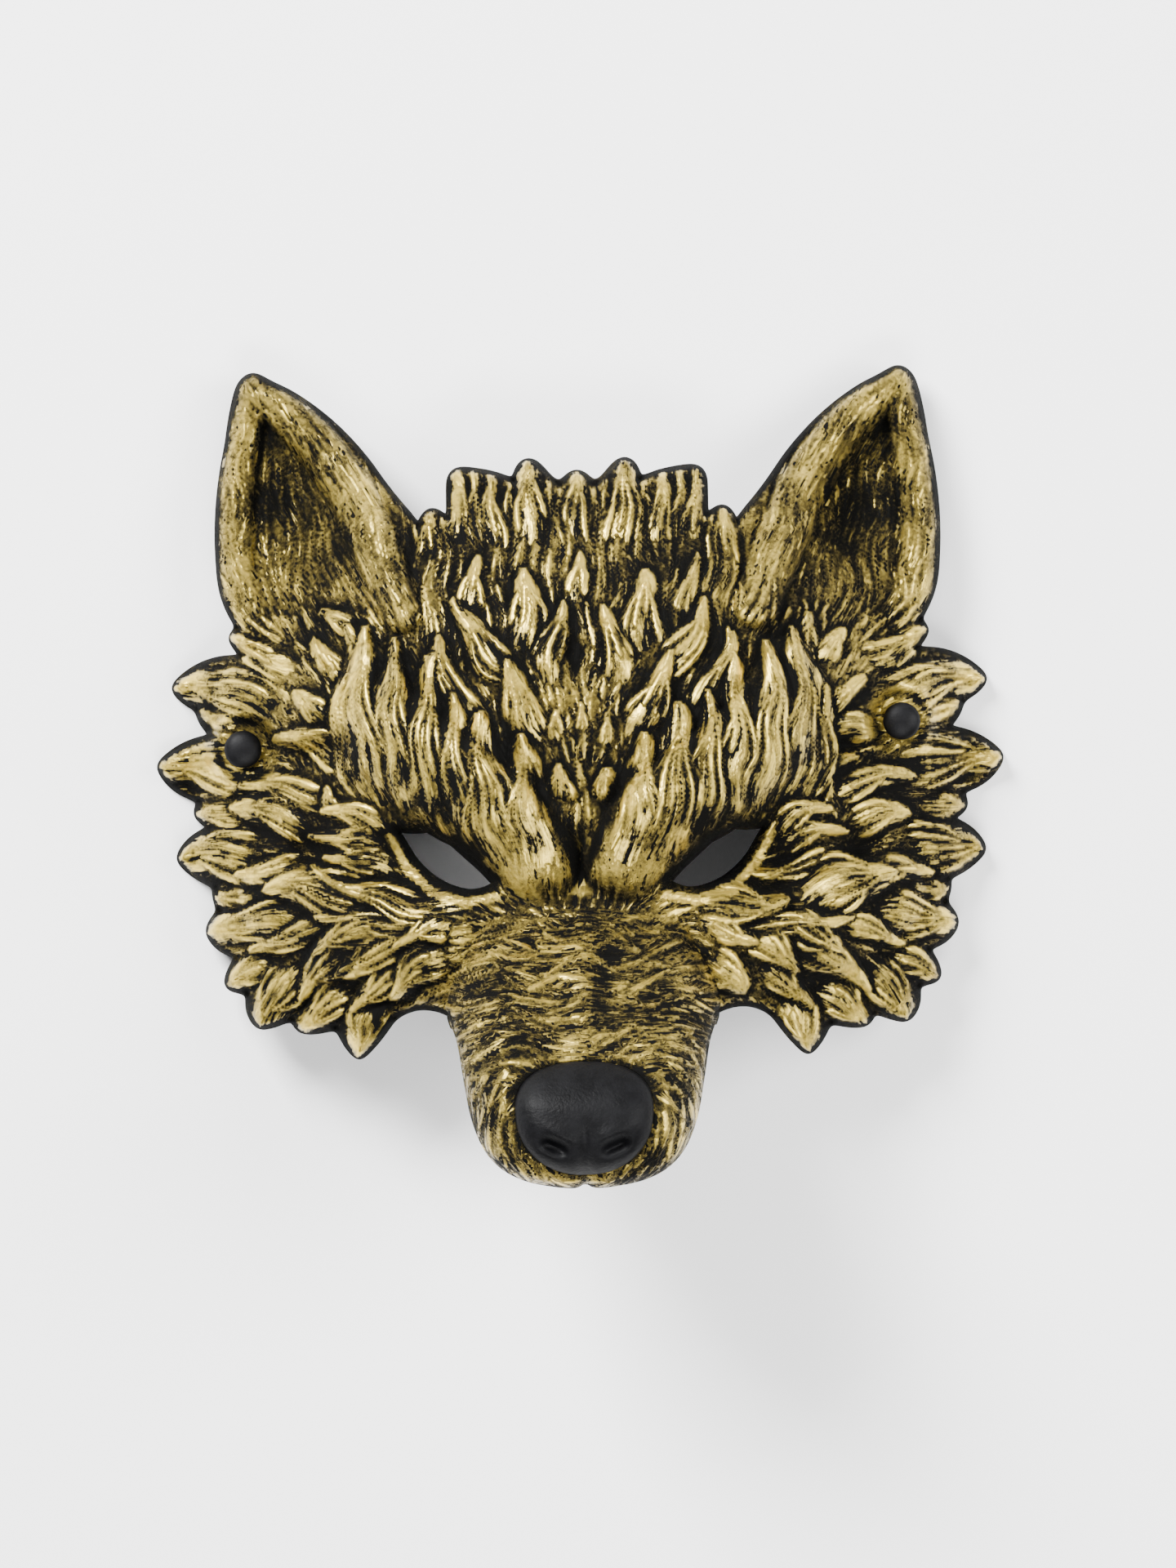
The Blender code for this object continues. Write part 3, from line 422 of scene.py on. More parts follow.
class Chain:
    """A line of bowed edges; place 3.5 is halfway along the edge after the fourth knot."""

    def __init__(self, points, bows):
        self.points = np.array(points, float)
        self.bows = np.array(bows, float)

    def at(self, place):
        place = np.asarray(place, float)
        edge = np.clip(np.floor(place).astype(int), 0, len(self.bows) - 1)
        share = (place - edge)[..., None]
        start = self.points[edge]
        run = self.points[(edge + 1) % len(self.points)] - start
        side = np.stack([-run[..., 1], run[..., 0]], -1) * self.bows[edge][..., None] * 4.0
        return start + run * share + side * share * (1.0 - share)

    def places(self, step):
        """Evenly spread places, every knot among them."""
        found = []
        for edge in range(len(self.bows)):
            run = self.points[(edge + 1) % len(self.points)] - self.points[edge]
            count = max(1, round(math.hypot(*run) / step))
            found += [edge + part / count for part in range(count)]
        return np.array(found)


def inside(points, loop):
    """Which points lie in a closed loop: those whose ray crosses it an odd number of times."""
    x, y = points[:, 0], points[:, 1]
    within = np.zeros(len(points), bool)
    for (x0, y0), (x1, y1) in zip(loop, np.roll(loop, -1, axis=0)):
        if y0 == y1:
            continue
        crosses = (y0 > y) != (y1 > y)
        within ^= crosses & (x < (x1 - x0) * (y - y0) / (y1 - y0) + x0)
    return within


def nearest_on_line(points, line):
    """How far each point is from a line, and the place along it."""
    best = np.full(len(points), np.inf)
    place = np.zeros(len(points))
    for number in range(len(line) - 1):
        start, run = line[number], line[number + 1] - line[number]
        share = np.clip((points - start) @ run / (run @ run), 0.0, 1.0)
        away = np.hypot(*(points - start - share[:, None] * run).T)
        closer = away < best
        best[closer] = away[closer]
        place[closer] = number + share[closer]
    return best, place


upper = FRINGE_EDGE + EAR_EDGE + CHEEK_EDGE
right_side = [(knot.x, knot.y) for knot in upper]
left_side = [(-x, y) for x, y in right_side[:0:-1]]
bows_right = [knot.bow for knot in upper[1:]]
edge_chain = Chain(left_side + right_side, bows_right[::-1] + bows_right)
eye_points = [(knot.x, knot.y) for knot in EYE_HOLE]
eye_bows = [knot.bow for knot in EYE_HOLE[1:]] + [0.0]
eye_right = Chain(eye_points, eye_bows)
eye_left = Chain([(-x, y) for x, y in eye_points], [-bow for bow in eye_bows])
print("outline knots", len(edge_chain.points))

# %% [markdown]
# ## The muzzle's foot line
#
# The muzzle is a tube whose walls stand almost straight up, so a plan drawn from above
# can't hold them. They get a grid of their own: places along the foot line one way, and
# steps up the wall the other. The wall's section is a rounded box, and its inverse says how
# far in each step lies.

# %% Foot line
foot_rows = MUZZLE_FOOT[:-1]
foot_ring = np.array(
    [(-foot.x, foot.y) for foot in foot_rows] + [(0.0, -118.9)]
    + [(foot.x, foot.y) for foot in foot_rows[::-1]])
LIP_ROWS = [(foot.y, foot.out) for foot in foot_rows[::-1]]
LIP_ROWS = [(-120.6, 96.5)] + [row for row in LIP_ROWS if row[0] < -30]
FOOT_SAMPLES = 240
NUDGE = 0.02
HALF_SAMPLES = 600
# shares of the wall's rise at which its rings lie, closer together near the top
WALL_STEPS = np.array([0.0, 0.12, 0.24, 0.36, 0.47, 0.57, 0.66, 0.74, 0.81, 0.87])


def spline(points, place):
    """A smooth curve through points."""
    place = np.asarray(place, float)
    edge = np.clip(np.floor(place).astype(int), 0, len(points) - 2)
    share = (place - edge)[..., None]
    before = points[np.maximum(edge - 1, 0)]
    start, end = points[edge], points[edge + 1]
    after = points[np.minimum(edge + 2, len(points) - 1)]
    return 0.5 * (
        2 * start + (end - before) * share
        + (2 * before - 5 * start + 4 * end - after) * share**2
        + (3 * start - before - 3 * end + after) * share**3)


def spread_along(points, step):
    """Places along a smooth curve, evenly spaced, with the same number on each side."""
    fine = np.linspace(0, len(points) - 1, 2 * HALF_SAMPLES + 1)
    line = spline(points, fine)
    travelled = np.concatenate([[0.0], np.cumsum(np.hypot(*np.diff(line, axis=0).T))])
    half = travelled[HALF_SAMPLES]
    count = max(2, round(half / step))
    marks = np.linspace(0, half, count + 1)
    marks = np.concatenate([marks, travelled[-1] - marks[-2::-1]])
    return np.interp(marks, travelled, fine)


def wall_inset(rise):
    """How far in from the foot line the wall reaches a share of its rise."""
    return MUZZLE_SHOULDER * (1 - (1 - rise**MUZZLE_ROUND)**(1 / MUZZLE_ROUND))


foot_line = spline(foot_ring, np.linspace(0, len(foot_ring) - 1, FOOT_SAMPLES))


def foot_point(place, inset):
    """A point on the foot line, moved towards the muzzle's middle."""
    here = spline(foot_ring, place)
    ahead = spline(foot_ring, np.minimum(place + NUDGE, len(foot_ring) - 1))
    behind = spline(foot_ring, np.maximum(place - NUDGE, 0))
    run = ahead - behind
    run = run / np.hypot(run[..., 0], run[..., 1])[..., None]
    return here + np.stack([-run[..., 1], run[..., 0]], -1) * np.asarray(inset)[..., None]


# %% [markdown]
# ## Heights of the smooth face
#
# The face is a dome, worked out from one section across and one down the middle. The muzzle
# rises from it, and the two are joined with a filled corner. Rolls and dents are added to
# the dome before that.

# %% Height functions
NOWHERE = -100.0
MUZZLE_REACH = (55, -20)
OUTSIDE_FALL = 2.0
HOLLOW_FALL = 1.6
SEAT_BLEND = 5.0


def face_out(points):
    """The dome's height."""
    crown = smooth_rows(points[:, 1], CROWN)
    return RIM_OUT + crown * smooth_rows(np.abs(points[:, 0]) / HALF_WIDTH, SECTION)


def muzzle_out(points, inset=0.0):
    """The muzzle's height, or that of its hollow, a wall's thickness further in."""
    line = foot_line if not inset else foot_point(
        np.linspace(0, len(foot_ring) - 1, FOOT_SAMPLES), np.full(FOOT_SAMPLES, inset))
    height = np.full(len(points), NOWHERE)
    near = (np.abs(points[:, 0]) < MUZZLE_REACH[0]) & (points[:, 1] < MUZZLE_REACH[1])
    here = points[near]
    away, _ = nearest_on_line(here, line)
    lip = smooth_rows(here[:, 1], LIP_ROWS)
    ridge = smooth_rows(here[:, 1], MUZZLE_RIDGE) - inset
    share = np.clip(away / (MUZZLE_SHOULDER - inset), 0.0, 1.0)
    rise = (1.0 - (1.0 - share)**MUZZLE_ROUND)**(1.0 / MUZZLE_ROUND)
    outside = lip - away * OUTSIDE_FALL
    height[near] = np.where(inside(here, line), lip + (ridge - lip) * rise, outside)
    return height


def rolls_out(points, rolls):
    """The padding's height, the same on both sides of the face."""
    height = np.zeros(len(points))
    folded = np.column_stack([np.abs(points[:, 0]), points[:, 1]])
    for roll in rolls:
        for first, last in zip(roll, roll[1:]):
            start = np.array([first.x, first.y], float)
            run = np.array([last.x, last.y], float) - start
            share = np.clip((folded - start) @ run / (run @ run), 0.0, 1.0)
            away = np.hypot(*(folded - start - share[:, None] * run).T)
            half = first.half + (last.half - first.half) * share
            top = first.height + (last.height - first.height) * share
            height = np.maximum(height, top * np.sqrt(np.maximum(1 - (away / half)**2, 0)))
    return height


def soft_spots(points, spots):
    """Soft round hollows or pads, the same on both sides of the face."""
    depth = np.zeros(len(points))
    for spot in spots:
        away_x = (np.abs(points[:, 0]) - spot.x) / spot.half_x
        away_y = (points[:, 1] - spot.y) / spot.half_y
        depth += spot.depth * np.exp(-(away_x**2 + away_y**2) * HOLLOW_FALL)
    return depth


def seated(points, heights, drop):
    """The same heights with a flat seat round each rivet."""
    for x, y in RIVETS.values():
        seat = face_out(np.array([[x, y]]))[0] + RIVET_RISE - drop
        away = np.hypot(points[:, 0] - x, points[:, 1] - y)
        share = 1.0 - smooth_step((away - RIVET_SEAT) / SEAT_BLEND)
        heights = heights * (1.0 - share) + seat * share
    return heights


# %% [markdown]
# ## A plan that gets finer
#
# A Delaunay mesh drawn in plan, with points 3 mm apart, is split twice: every triangle
# becomes four, and again. New points on an edge of the mask are asked from the chain, so
# tufts stay round, and new points on the muzzle's wall are asked from the wall's own grid.

# %% Lines that bound the plan
STEP = 3.15
HOLE_STEP = 1.8
HOLE_RADIUS = 2.3
HOLE_SIDES = 8
HOLE_BOW = -0.1
CLEAR_OF_LINES = 0.6
ROWS_OUT, COLUMNS_OUT = 46, 42
EDGE, EYE_R, EYE_L, HOLE_R, HOLE_L = 0, 1, 2, 3, 4


def hole_chain(x, y):
    """A rivet's hole."""
    turns = np.linspace(0, 2 * math.pi, HOLE_SIDES, endpoint=False)
    points = np.column_stack(
        [x + HOLE_RADIUS * np.cos(turns), y + HOLE_RADIUS * np.sin(turns)])
    return Chain(points, [HOLE_BOW] * HOLE_SIDES)


chains = {
    EDGE: edge_chain,
    EYE_R: eye_right,
    EYE_L: eye_left,
    HOLE_R: hole_chain(*RIVETS["rivet_right"]),
    HOLE_L: hole_chain(*RIVETS["rivet_left"]),
}
print("bounding lines", len(chains))


def plan_turn(points, faces):
    """Twice the area of each triangle in plan, negative where it is turned over."""
    first = points[faces[:, 1]] - points[faces[:, 0]]
    last = points[faces[:, 2]] - points[faces[:, 0]]
    return first[:, 0] * last[:, 1] - first[:, 1] * last[:, 0]


# %% [markdown]
# ## The coarse plan
#
# Points go round every line and up the muzzle's wall, and a honeycomb of points fills the
# rest. Each point remembers the line or the wall place that it came from, so that the next
# step can ask for points between them.

# %% Coarse plan
def coarse_plan():
    """Points, their line and place on it, their place on the wall, and triangles."""
    wall_places = spread_along(foot_ring, STEP)
    arch_right = foot_ring.shape[0] - 1 - ARCH_FOOT
    left_arch = int(np.argmin(np.abs(wall_places - ARCH_FOOT)))
    right_arch = len(wall_places) - 1 - left_arch
    wall_places[left_arch], wall_places[right_arch] = ARCH_FOOT, arch_right
    points, curve, place, wall = [], [], [], []
    edges = []

    def add(point, curve_of=-1, place_of=0.0, wall_of=(-1.0, -1.0)):
        points.append(tuple(point))
        curve.append(curve_of)
        place.append(place_of)
        wall.append(wall_of)
        return len(points) - 1

    grid = {}
    places = edge_chain.places(STEP)
    rim = [add(edge_chain.at(where), EDGE, where) for where in places]
    end = add(edge_chain.points[-1], EDGE, float(len(edge_chain.bows)))
    wall[rim[0]] = (float(left_arch), 0.0)
    wall[end] = (float(right_arch), 0.0)
    grid[left_arch, 0], grid[right_arch, 0] = rim[0], end
    edges += list(zip(rim, rim[1:] + [end]))
    for row, rise in enumerate(WALL_STEPS):
        ring = foot_point(wall_places, np.full(len(wall_places), wall_inset(rise)))
        for number, point in enumerate(ring):
            if row == 0 and not left_arch < number < right_arch:
                continue
            grid[number, row] = add(point, -1, 0.0, (float(number), float(row)))
    for row in range(len(WALL_STEPS)):
        for number in range(len(wall_places) - 1):
            if (number, row) in grid and (number + 1, row) in grid:
                if row or left_arch <= number < right_arch:
                    edges.append((grid[number, row], grid[number + 1, row]))
    rim_loop = [edge_chain.at(where) for where in places] + [edge_chain.points[-1]]
    rim_loop += [points[grid[number, 0]] for number in range(right_arch - 1, left_arch, -1)]
    holes = []
    for curve_of in (EYE_R, EYE_L, HOLE_R, HOLE_L):
        chain = chains[curve_of]
        spots = chain.places(STEP if curve_of in (EYE_R, EYE_L) else HOLE_STEP)
        loop = [add(chain.at(where), curve_of, where) for where in spots]
        edges += list(zip(loop, loop[1:] + loop[:1]))
        holes.append(np.array([points[number] for number in loop]))
    fixed = np.array(points)
    rise_step = STEP * math.sqrt(3) / 2
    honeycomb = np.array([
        (column * STEP + (STEP / 2 if row % 2 else 0), row * rise_step)
        for row in range(-ROWS_OUT, ROWS_OUT + 1)
        for column in range(-COLUMNS_OUT, COLUMNS_OUT + 1)])
    free = inside(honeycomb, np.array(rim_loop))
    for hole in holes:
        free &= ~inside(honeycomb, hole)
    band = foot_point(wall_places, np.full(len(wall_places), wall_inset(WALL_STEPS[-1])))
    free &= ~(inside(honeycomb, foot_line) & ~inside(honeycomb, band))
    honeycomb = honeycomb[free]
    gaps = np.array([np.min(np.hypot(*(fixed - point).T)) for point in honeycomb])
    for point in honeycomb[gaps > STEP * CLEAR_OF_LINES]:
        add(point)
    flat, _, faces, origins, _, _ = delaunay_2d_cdt(
        [Vector(point) for point in points], edges, [], 0, 1e-7)
    order = np.array([origin[0] for origin in origins])
    faces = order[np.array(faces)]
    middles = np.array(points)[faces].mean(axis=1)
    keep = inside(middles, np.array(rim_loop))
    for hole in holes:
        keep &= ~inside(middles, hole)
    faces = faces[keep]
    turned = plan_turn(np.array(points), faces) < 0
    faces[turned] = faces[turned][:, ::-1]
    return (np.array(points), np.array(curve), np.array(place), np.array(wall),
            faces, wall_places, len(flat) - len(points))


plan, curve, place, wall, faces, wall_places, crossings = coarse_plan()
print("coarse plan", len(plan), "points", len(faces), "triangles, crossings", crossings)


# %% [markdown]
# ## Splitting it twice
#
# A midpoint is asked from the line or the wall that both its ends lie on. Only elsewhere is
# it the plain middle, because the surface itself comes later, from the height functions.

# %% Splitting
def split(points, curve, place, wall, faces, wall_places, reach):
    """Every triangle becomes four; reach is the spacing of points on the wall's grid."""
    sides = np.sort(np.concatenate([faces[:, [0, 1]], faces[:, [1, 2]], faces[:, [2, 0]]]), axis=1)
    edges, back, uses = np.unique(sides, axis=0, return_inverse=True, return_counts=True)
    back = back.ravel()
    a, b = edges.T
    middle = (points[a] + points[b]) / 2
    new_curve = np.full(len(edges), -1)
    new_place = np.zeros(len(edges))
    new_wall = np.full((len(edges), 2), -1.0)
    rim = (uses == 1) & (curve[a] == curve[b]) & (curve[a] >= 0)
    for number, chain in chains.items():
        pick = rim & (curve[a] == number)
        first, last = place[a][pick], place[b][pick]
        total = len(chain.bows)
        if number != EDGE:
            wraps = np.abs(first - last) > total / 2
            first, last = (np.where(wraps & (first < last), first + total, first),
                           np.where(wraps & (last < first), last + total, last))
        halfway = (first + last) / 2
        if number != EDGE:
            halfway = halfway % total
        middle[pick] = chain.at(halfway)
        new_curve[pick] = number
        new_place[pick] = halfway
    on_wall = (wall[a][:, 0] >= 0) & (wall[b][:, 0] >= 0)
    on_wall &= (np.abs(wall[a] - wall[b]).max(axis=1) <= reach * 1.001)
    on_wall &= ~(rim & ((wall[a][:, 1] > 0) | (wall[b][:, 1] > 0)))
    halfway = (wall[a][on_wall] + wall[b][on_wall]) / 2
    along = np.interp(halfway[:, 0], range(len(wall_places)), wall_places)
    rise = np.interp(halfway[:, 1], range(len(WALL_STEPS)), WALL_STEPS)
    middle[on_wall] = foot_point(along, wall_inset(rise))
    new_wall[on_wall] = halfway
    size = len(points)
    ab, bc, ca = (back[:len(faces)] + size, back[len(faces):2 * len(faces)] + size,
                  back[2 * len(faces):] + size)
    corner_a, corner_b, corner_c = faces.T
    faces = np.concatenate([
        np.column_stack([corner_a, ab, ca]), np.column_stack([ab, corner_b, bc]),
        np.column_stack([ca, bc, corner_c]), np.column_stack([ab, bc, ca])])
    return (np.vstack([points, middle]), np.concatenate([curve, new_curve]),
            np.concatenate([place, new_place]), np.vstack([wall, new_wall]), faces)


for reach in (1.0, 0.5):
    plan, curve, place, wall, faces = split(plan, curve, place, wall, faces, wall_places, reach)
sides = np.sort(np.concatenate([faces[:, [0, 1]], faces[:, [1, 2]], faces[:, [2, 0]]]), axis=1)
mesh_edges, edge_uses = np.unique(sides, axis=0, return_counts=True)
print("fine plan", len(plan), "points", len(faces), "triangles")


# %% [markdown]
# ## Rounding the tufts' tips
#
# Knots are sharp, and cast foam isn't. The outline's points are blurred along the outline,
# and what they move by is spread inwards so that no triangle turns over.

# %% Rounded tips
TIP_ROUNDS = 7
SPREAD_ROUNDS = 14


def blurred(values, edges, rounds, held=None):
    """Each round gives a point the mean of itself and its neighbours."""
    count = np.bincount(edges.ravel(), minlength=len(values)) + 1.0
    start = values
    for _ in range(rounds):
        total = values.copy()
        total += np.bincount(edges[:, 0], values[edges[:, 1]], len(values))
        total += np.bincount(edges[:, 1], values[edges[:, 0]], len(values))
        values = total / count
        if held is not None:
            values = np.where(held, start, values)
    return values


rim_edges = mesh_edges[edge_uses == 1]
rim_edges = rim_edges[(curve[rim_edges] == EDGE).all(axis=1)]
last_place = float(len(edge_chain.bows))
near_muzzle = (place < 0.2) | (place > last_place - 0.2)
on_rim = np.zeros(len(plan), bool)
on_rim[rim_edges] = True
for axis in range(2):
    column = plan[:, axis].copy()
    fixed = ~on_rim | near_muzzle
    rounded = blurred(column, rim_edges, TIP_ROUNDS, fixed)
    moved = np.where(on_rim, rounded - column, 0.0)
    held = on_rim | (wall[:, 0] >= 0)
    plan[:, axis] = column + blurred(moved, mesh_edges, SPREAD_ROUNDS, held)
over = plan_turn(plan, faces) <= 0
print("triangles turned over", int(over.sum()))

# %% [markdown]
# ## The smooth surface
#
# Heights come from the functions above. On the muzzle's wall the step up the wall gives the
# height, which is exact where the plan is too steep to tell.

# %% Smooth surface
# the muzzle's hair starts a little below the line where it meets the face
HAIR_BELOW, HAIR_BLEND = 6.0, 10.0
face_height = face_out(plan) + rolls_out(plan, ROLLS) - soft_spots(plan, DENTS)
muzzle_height = muzzle_out(plan)
on_wall = wall[:, 0] >= 0
wall_rise = np.interp(wall[on_wall, 1], range(len(WALL_STEPS)), WALL_STEPS)
lip = smooth_rows(plan[on_wall, 1], LIP_ROWS)
ridge = smooth_rows(plan[on_wall, 1], MUZZLE_RIDGE)
muzzle_height[on_wall] = lip + (ridge - lip) * wall_rise
smooth = smooth_max(face_height, muzzle_height, MUZZLE_BLEND)
muzzle_share = smooth_step((muzzle_height - face_height + HAIR_BELOW) / HAIR_BLEND)
print("smooth surface from", round(smooth.min(), 1), "to", round(smooth.max(), 1), "mm")


# %% [markdown]
# ## Cutting the fur
#
# A lock is a leaf: narrow at its root, widest past its middle, rounded to a point, thicker
# towards its tip so that it stands off what lies behind. The sculptor's tool leaves three
# or four strands on each, of unequal length, that meet at the tip. Where locks overlap the
# highest wins, which is what gives the shingled steps. Between the sculpted locks lie thin
# strands of hair that follow their neighbours, long on the fringe and fine in the ears.

# %% Locks and strands
random = np.random.default_rng(SEED)
LOW_LOCK, LOCK_RISE, HIGHEST_LOCK = 0.8, 0.36, 5.4
STRAND_WIDTH = 3.1
STRAND_OVERLAP = 1.25
SPREAD_AT_ROOT, SPREAD_AT_TIP = 0.85, 1.4


def lock_width(share):
    """Narrow at the root, widest past the middle, blunt and round at the tip."""
    root = 0.6 + 0.4 * smooth_step(share / 0.4)
    tip_part = np.clip((share - 0.42) / 0.61, 0.0, 1.0)
    return root * (1.0 - tip_part**2.3)**0.62


def lock_height(lock):
    """A wide lock is thicker than a narrow one."""
    return min(LOW_LOCK + LOCK_RISE * lock.width, HIGHEST_LOCK)


def strands_of(lock):
    """The strands on a sculpted lock: they start side by side and meet at its tip."""
    count = max(2, round(lock.width / STRAND_WIDTH))
    run = np.array([lock.x1 - lock.x0, lock.y1 - lock.y0])
    side = np.array([-run[1], run[0]]) / math.hypot(*run)
    made = []
    for number in range(count):
        place = ((number + 0.5) / count - 0.5) * lock.width
        place += random.uniform(-0.3, 0.3)
        dome = 1.0 - 0.38 * (2.0 * place / lock.width)**2
        start = random.uniform(0.02, 0.3)
        end = random.uniform(0.8, 1.02) - abs(place) / lock.width * 0.3
        middle = 0.5 * (start + end)
        first = (lock.x0, lock.y0) + run * start + side * place * SPREAD_AT_ROOT
        last = (lock.x0, lock.y0) + run * end + side * place * (1.0 - end) * SPREAD_AT_TIP
        bow = lock.bend * math.hypot(*run) * 4.0
        first = first + side * bow * start * (1.0 - start)
        last = last + side * bow * end * (1.0 - end)
        rest = bow * middle * (1.0 - middle) - 0.5 * bow * (
            start * (1.0 - start) + end * (1.0 - end))
        straight = 0.5 * place * (SPREAD_AT_ROOT + SPREAD_AT_TIP * (1.0 - end))
        swell = float(place * lock_width(np.array(middle)) - straight)
        length = math.hypot(*(last - first))
        height = lock_height(lock) * random.uniform(0.94, 1.08) * dome + 0.4
        width = lock.width / count * STRAND_OVERLAP
        made.append((Lock(*first, *last, width, (rest + swell) / length), height))
    return made


# %% [markdown]
# ## Hair between the locks
#
# Thin strands lie over the whole face, turned the way their neighbours lie. The muzzle's
# hair is short: it lies out from the ridge, then sweeps round the whisker pads and the nose.

# %% Hair
def lock_round(x, y, angle, length, width, bend):
    """A lock given by its middle and its angle."""
    step_x, step_y = math.cos(angle) * length, math.sin(angle) * length
    return Lock(x - step_x / 2, y - step_y / 2, x + step_x / 2, y + step_y / 2, width, bend)


def hair(guides):
    """Thin strands over the whole face, each turned the way its neighbours lie."""
    middles = np.array([((lock.x0 + lock.x1) / 2, (lock.y0 + lock.y1) / 2) for lock in guides])
    runs = np.array([(lock.x1 - lock.x0, lock.y1 - lock.y0) for lock in guides])
    runs = runs / np.hypot(*runs.T)[:, None]
    made = []
    for row in range(-38, 52):
        for column in range(-52, 53):
            x = column * 2.45 + (1.2 if row % 2 else 0.0) + random.uniform(-0.8, 0.8)
            y = row * 2.4 + random.uniform(-0.8, 0.8)
            weight = 1.0 / (np.hypot(*(middles - (x, y)).T)**2 + 30.0)**1.5
            run = (runs * weight[:, None]).sum(axis=0)
            angle = math.atan2(run[1], run[0]) + random.uniform(-0.12, 0.12)
            in_ear = abs(x) > 46 and y > 44
            on_fringe = abs(x) < 46 and y > 40
            length = random.uniform(11.0, 18.0)
            width = random.uniform(2.2, 3.6)
            height = random.uniform(0.6, 1.5)
            if in_ear:
                width, height = random.uniform(1.5, 2.5), random.uniform(0.3, 0.8)
            if on_fringe:
                angle = math.pi / 2 + x * -0.002 + random.uniform(-0.1, 0.1)
                length, width = length + 8.0, width + 0.8
                height = random.uniform(0.8, 2.2)
            bend = random.uniform(-0.06, 0.06)
            made.append((lock_round(x, y, angle, length, width, bend), height))
    return made


def muzzle_angle(x, y):
    """Which way the muzzle's hair lies: out from the ridge, then round the pads and nose."""
    wave = 0.3 * math.sin(0.45 * abs(x) + 0.5 * y)
    round_pad = math.atan2(y + 96.0, abs(x) - 15.0) - math.pi / 2
    round_nose = math.atan2(y + 99.5, abs(x)) - math.pi / 2
    to_pad = min(1.0, max(0.0, (-66.0 - y) / 8.0))
    to_nose = min(1.0, max(0.0, (-90.0 - y) / 10.0))
    if abs(x) < 15.0 and y > -96.0:
        round_pad = round_pad * min(1.0, abs(x) / 8.0)
    angle = wave * (1 - to_pad) + to_pad * (round_pad * (1 - to_nose) + round_nose * to_nose)
    return angle if x >= 0 else math.pi - angle


def muzzle_hair():
    """The muzzle's short strands."""
    made = []
    for row in range(36):
        for column in range(-14, 15):
            x = column * 3.2 + random.uniform(-1.5, 1.5)
            y = -37.0 - row * 2.4 + random.uniform(-1.1, 1.1)
            angle = muzzle_angle(x, y) + random.uniform(-0.07, 0.07)
            length = random.uniform(12.0, 21.0)
            width, bend = random.uniform(2.4, 4.0), random.uniform(-0.1, 0.1)
            height = random.uniform(0.5, 1.2)
            made.append((lock_round(x, y, angle, length, width, bend), height))
    return made


# %% [markdown]
# ## Laying the locks
#
# Every lock is laid on the plan in turn, and at each point the highest wins. The winner also
# leaves its number and the place along and across it, which the paint's streaks follow.

# %% Laying
SECTION_POWER = 0.75
LIFT_BY = 0.45
ROOT_LIFT = 0.45


def lay_locks(points, locks):
    """Height of the winning lock at each point, its place along and across, its number."""
    height = np.zeros(len(points))
    along = points[:, 1].copy()
    across = points[:, 0].copy()
    number_of = np.zeros(len(points))
    order = np.argsort(points[:, 1])
    sorted_y = points[order, 1]
    for number, (lock, top) in enumerate(locks):
        start = np.array([lock.x0, lock.y0])
        run = np.array([lock.x1, lock.y1]) - start
        length = math.hypot(*run)
        reach = lock.width * 0.5 + abs(lock.bend) * length + 1.0
        low = np.minimum(start, start + run) - reach
        high = np.maximum(start, start + run) + reach
        row = order[np.searchsorted(sorted_y, low[1]):np.searchsorted(sorted_y, high[1])]
        near = row[(points[row, 0] > low[0]) & (points[row, 0] < high[0])]
        if not len(near):
            continue
        away = points[near] - start
        share = away @ run / length**2
        aside = (away[:, 1] * run[0] - away[:, 0] * run[1]) / length
        aside = aside - lock.bend * length * 4.0 * share * (1.0 - share)
        half = lock.width * 0.5 * lock_width(share)
        part = aside / np.maximum(half, 1e-3)
        on_lock = (share > 0.0) & (share < 1.02) & (np.abs(part) < 1.0)
        lift = smooth_step(share / LIFT_BY) * (ROOT_LIFT + (1.0 - ROOT_LIFT) * share)
        rise = top * lift * np.maximum(1.0 - part**2, 0.0)**SECTION_POWER
        wins = on_lock & (rise > height[near])
        spot = near[wins]
        height[spot] = rise[wins]
        along[spot] = share[wins] * length
        across[spot] = aside[wins]
        number_of[spot] = number + 1
    return height, along, across, number_of


# %% [markdown]
# ## Cutting the whole face
#
# The plan is bent a little before the locks are laid, which makes them crooked the way a
# hand draws. The brows' round inner ends stay nearly smooth, a crease runs up beside them
# and a small raised diamond sits at the bridge.

# %% Fur on the face
EDGE_SAMPLES = 1400
SWAY = 0.75
MUZZLE_NUMBERS = 5000
edge_line = edge_chain.at(np.linspace(0, len(edge_chain.bows), EDGE_SAMPLES))
edge_away, _ = nearest_on_line(plan, edge_line)
# a hand's unsteadiness: everything but the tufts is drawn a little crooked
sway = SWAY * smooth_step(edge_away / 9.0)
crooked_x = np.sin(plan[:, 1] / 3.7 + 1.6 * np.sin(plan[:, 0] / 7.9) + plan[:, 0] / 21.0)
crooked_y = np.sin(plan[:, 0] / 4.1 + 1.7 * np.sin(plan[:, 1] / 8.3 + 2.0) - plan[:, 1] / 19.0)
drawn = plan + np.column_stack([crooked_x * sway, crooked_y * sway])
guides = sculpted + GUIDES + [mirrored(lock) for lock in GUIDES]
coat = hair(guides)
cut = [(lock, lock_height(lock)) for lock in sculpted]
strands = [strand for lock in sculpted for strand in strands_of(lock)]
fur, along, across, lock_number = lay_locks(drawn, coat + cut + strands)
muzzle_fur, muzzle_along, muzzle_across, muzzle_number = lay_locks(drawn, muzzle_hair())
pads = soft_spots(plan, PADS)
on_muzzle = muzzle_share > 0.5
relief = fur * (1.0 - muzzle_share) + (muzzle_fur + pads) * muzzle_share
along = np.where(on_muzzle, muzzle_along, along)
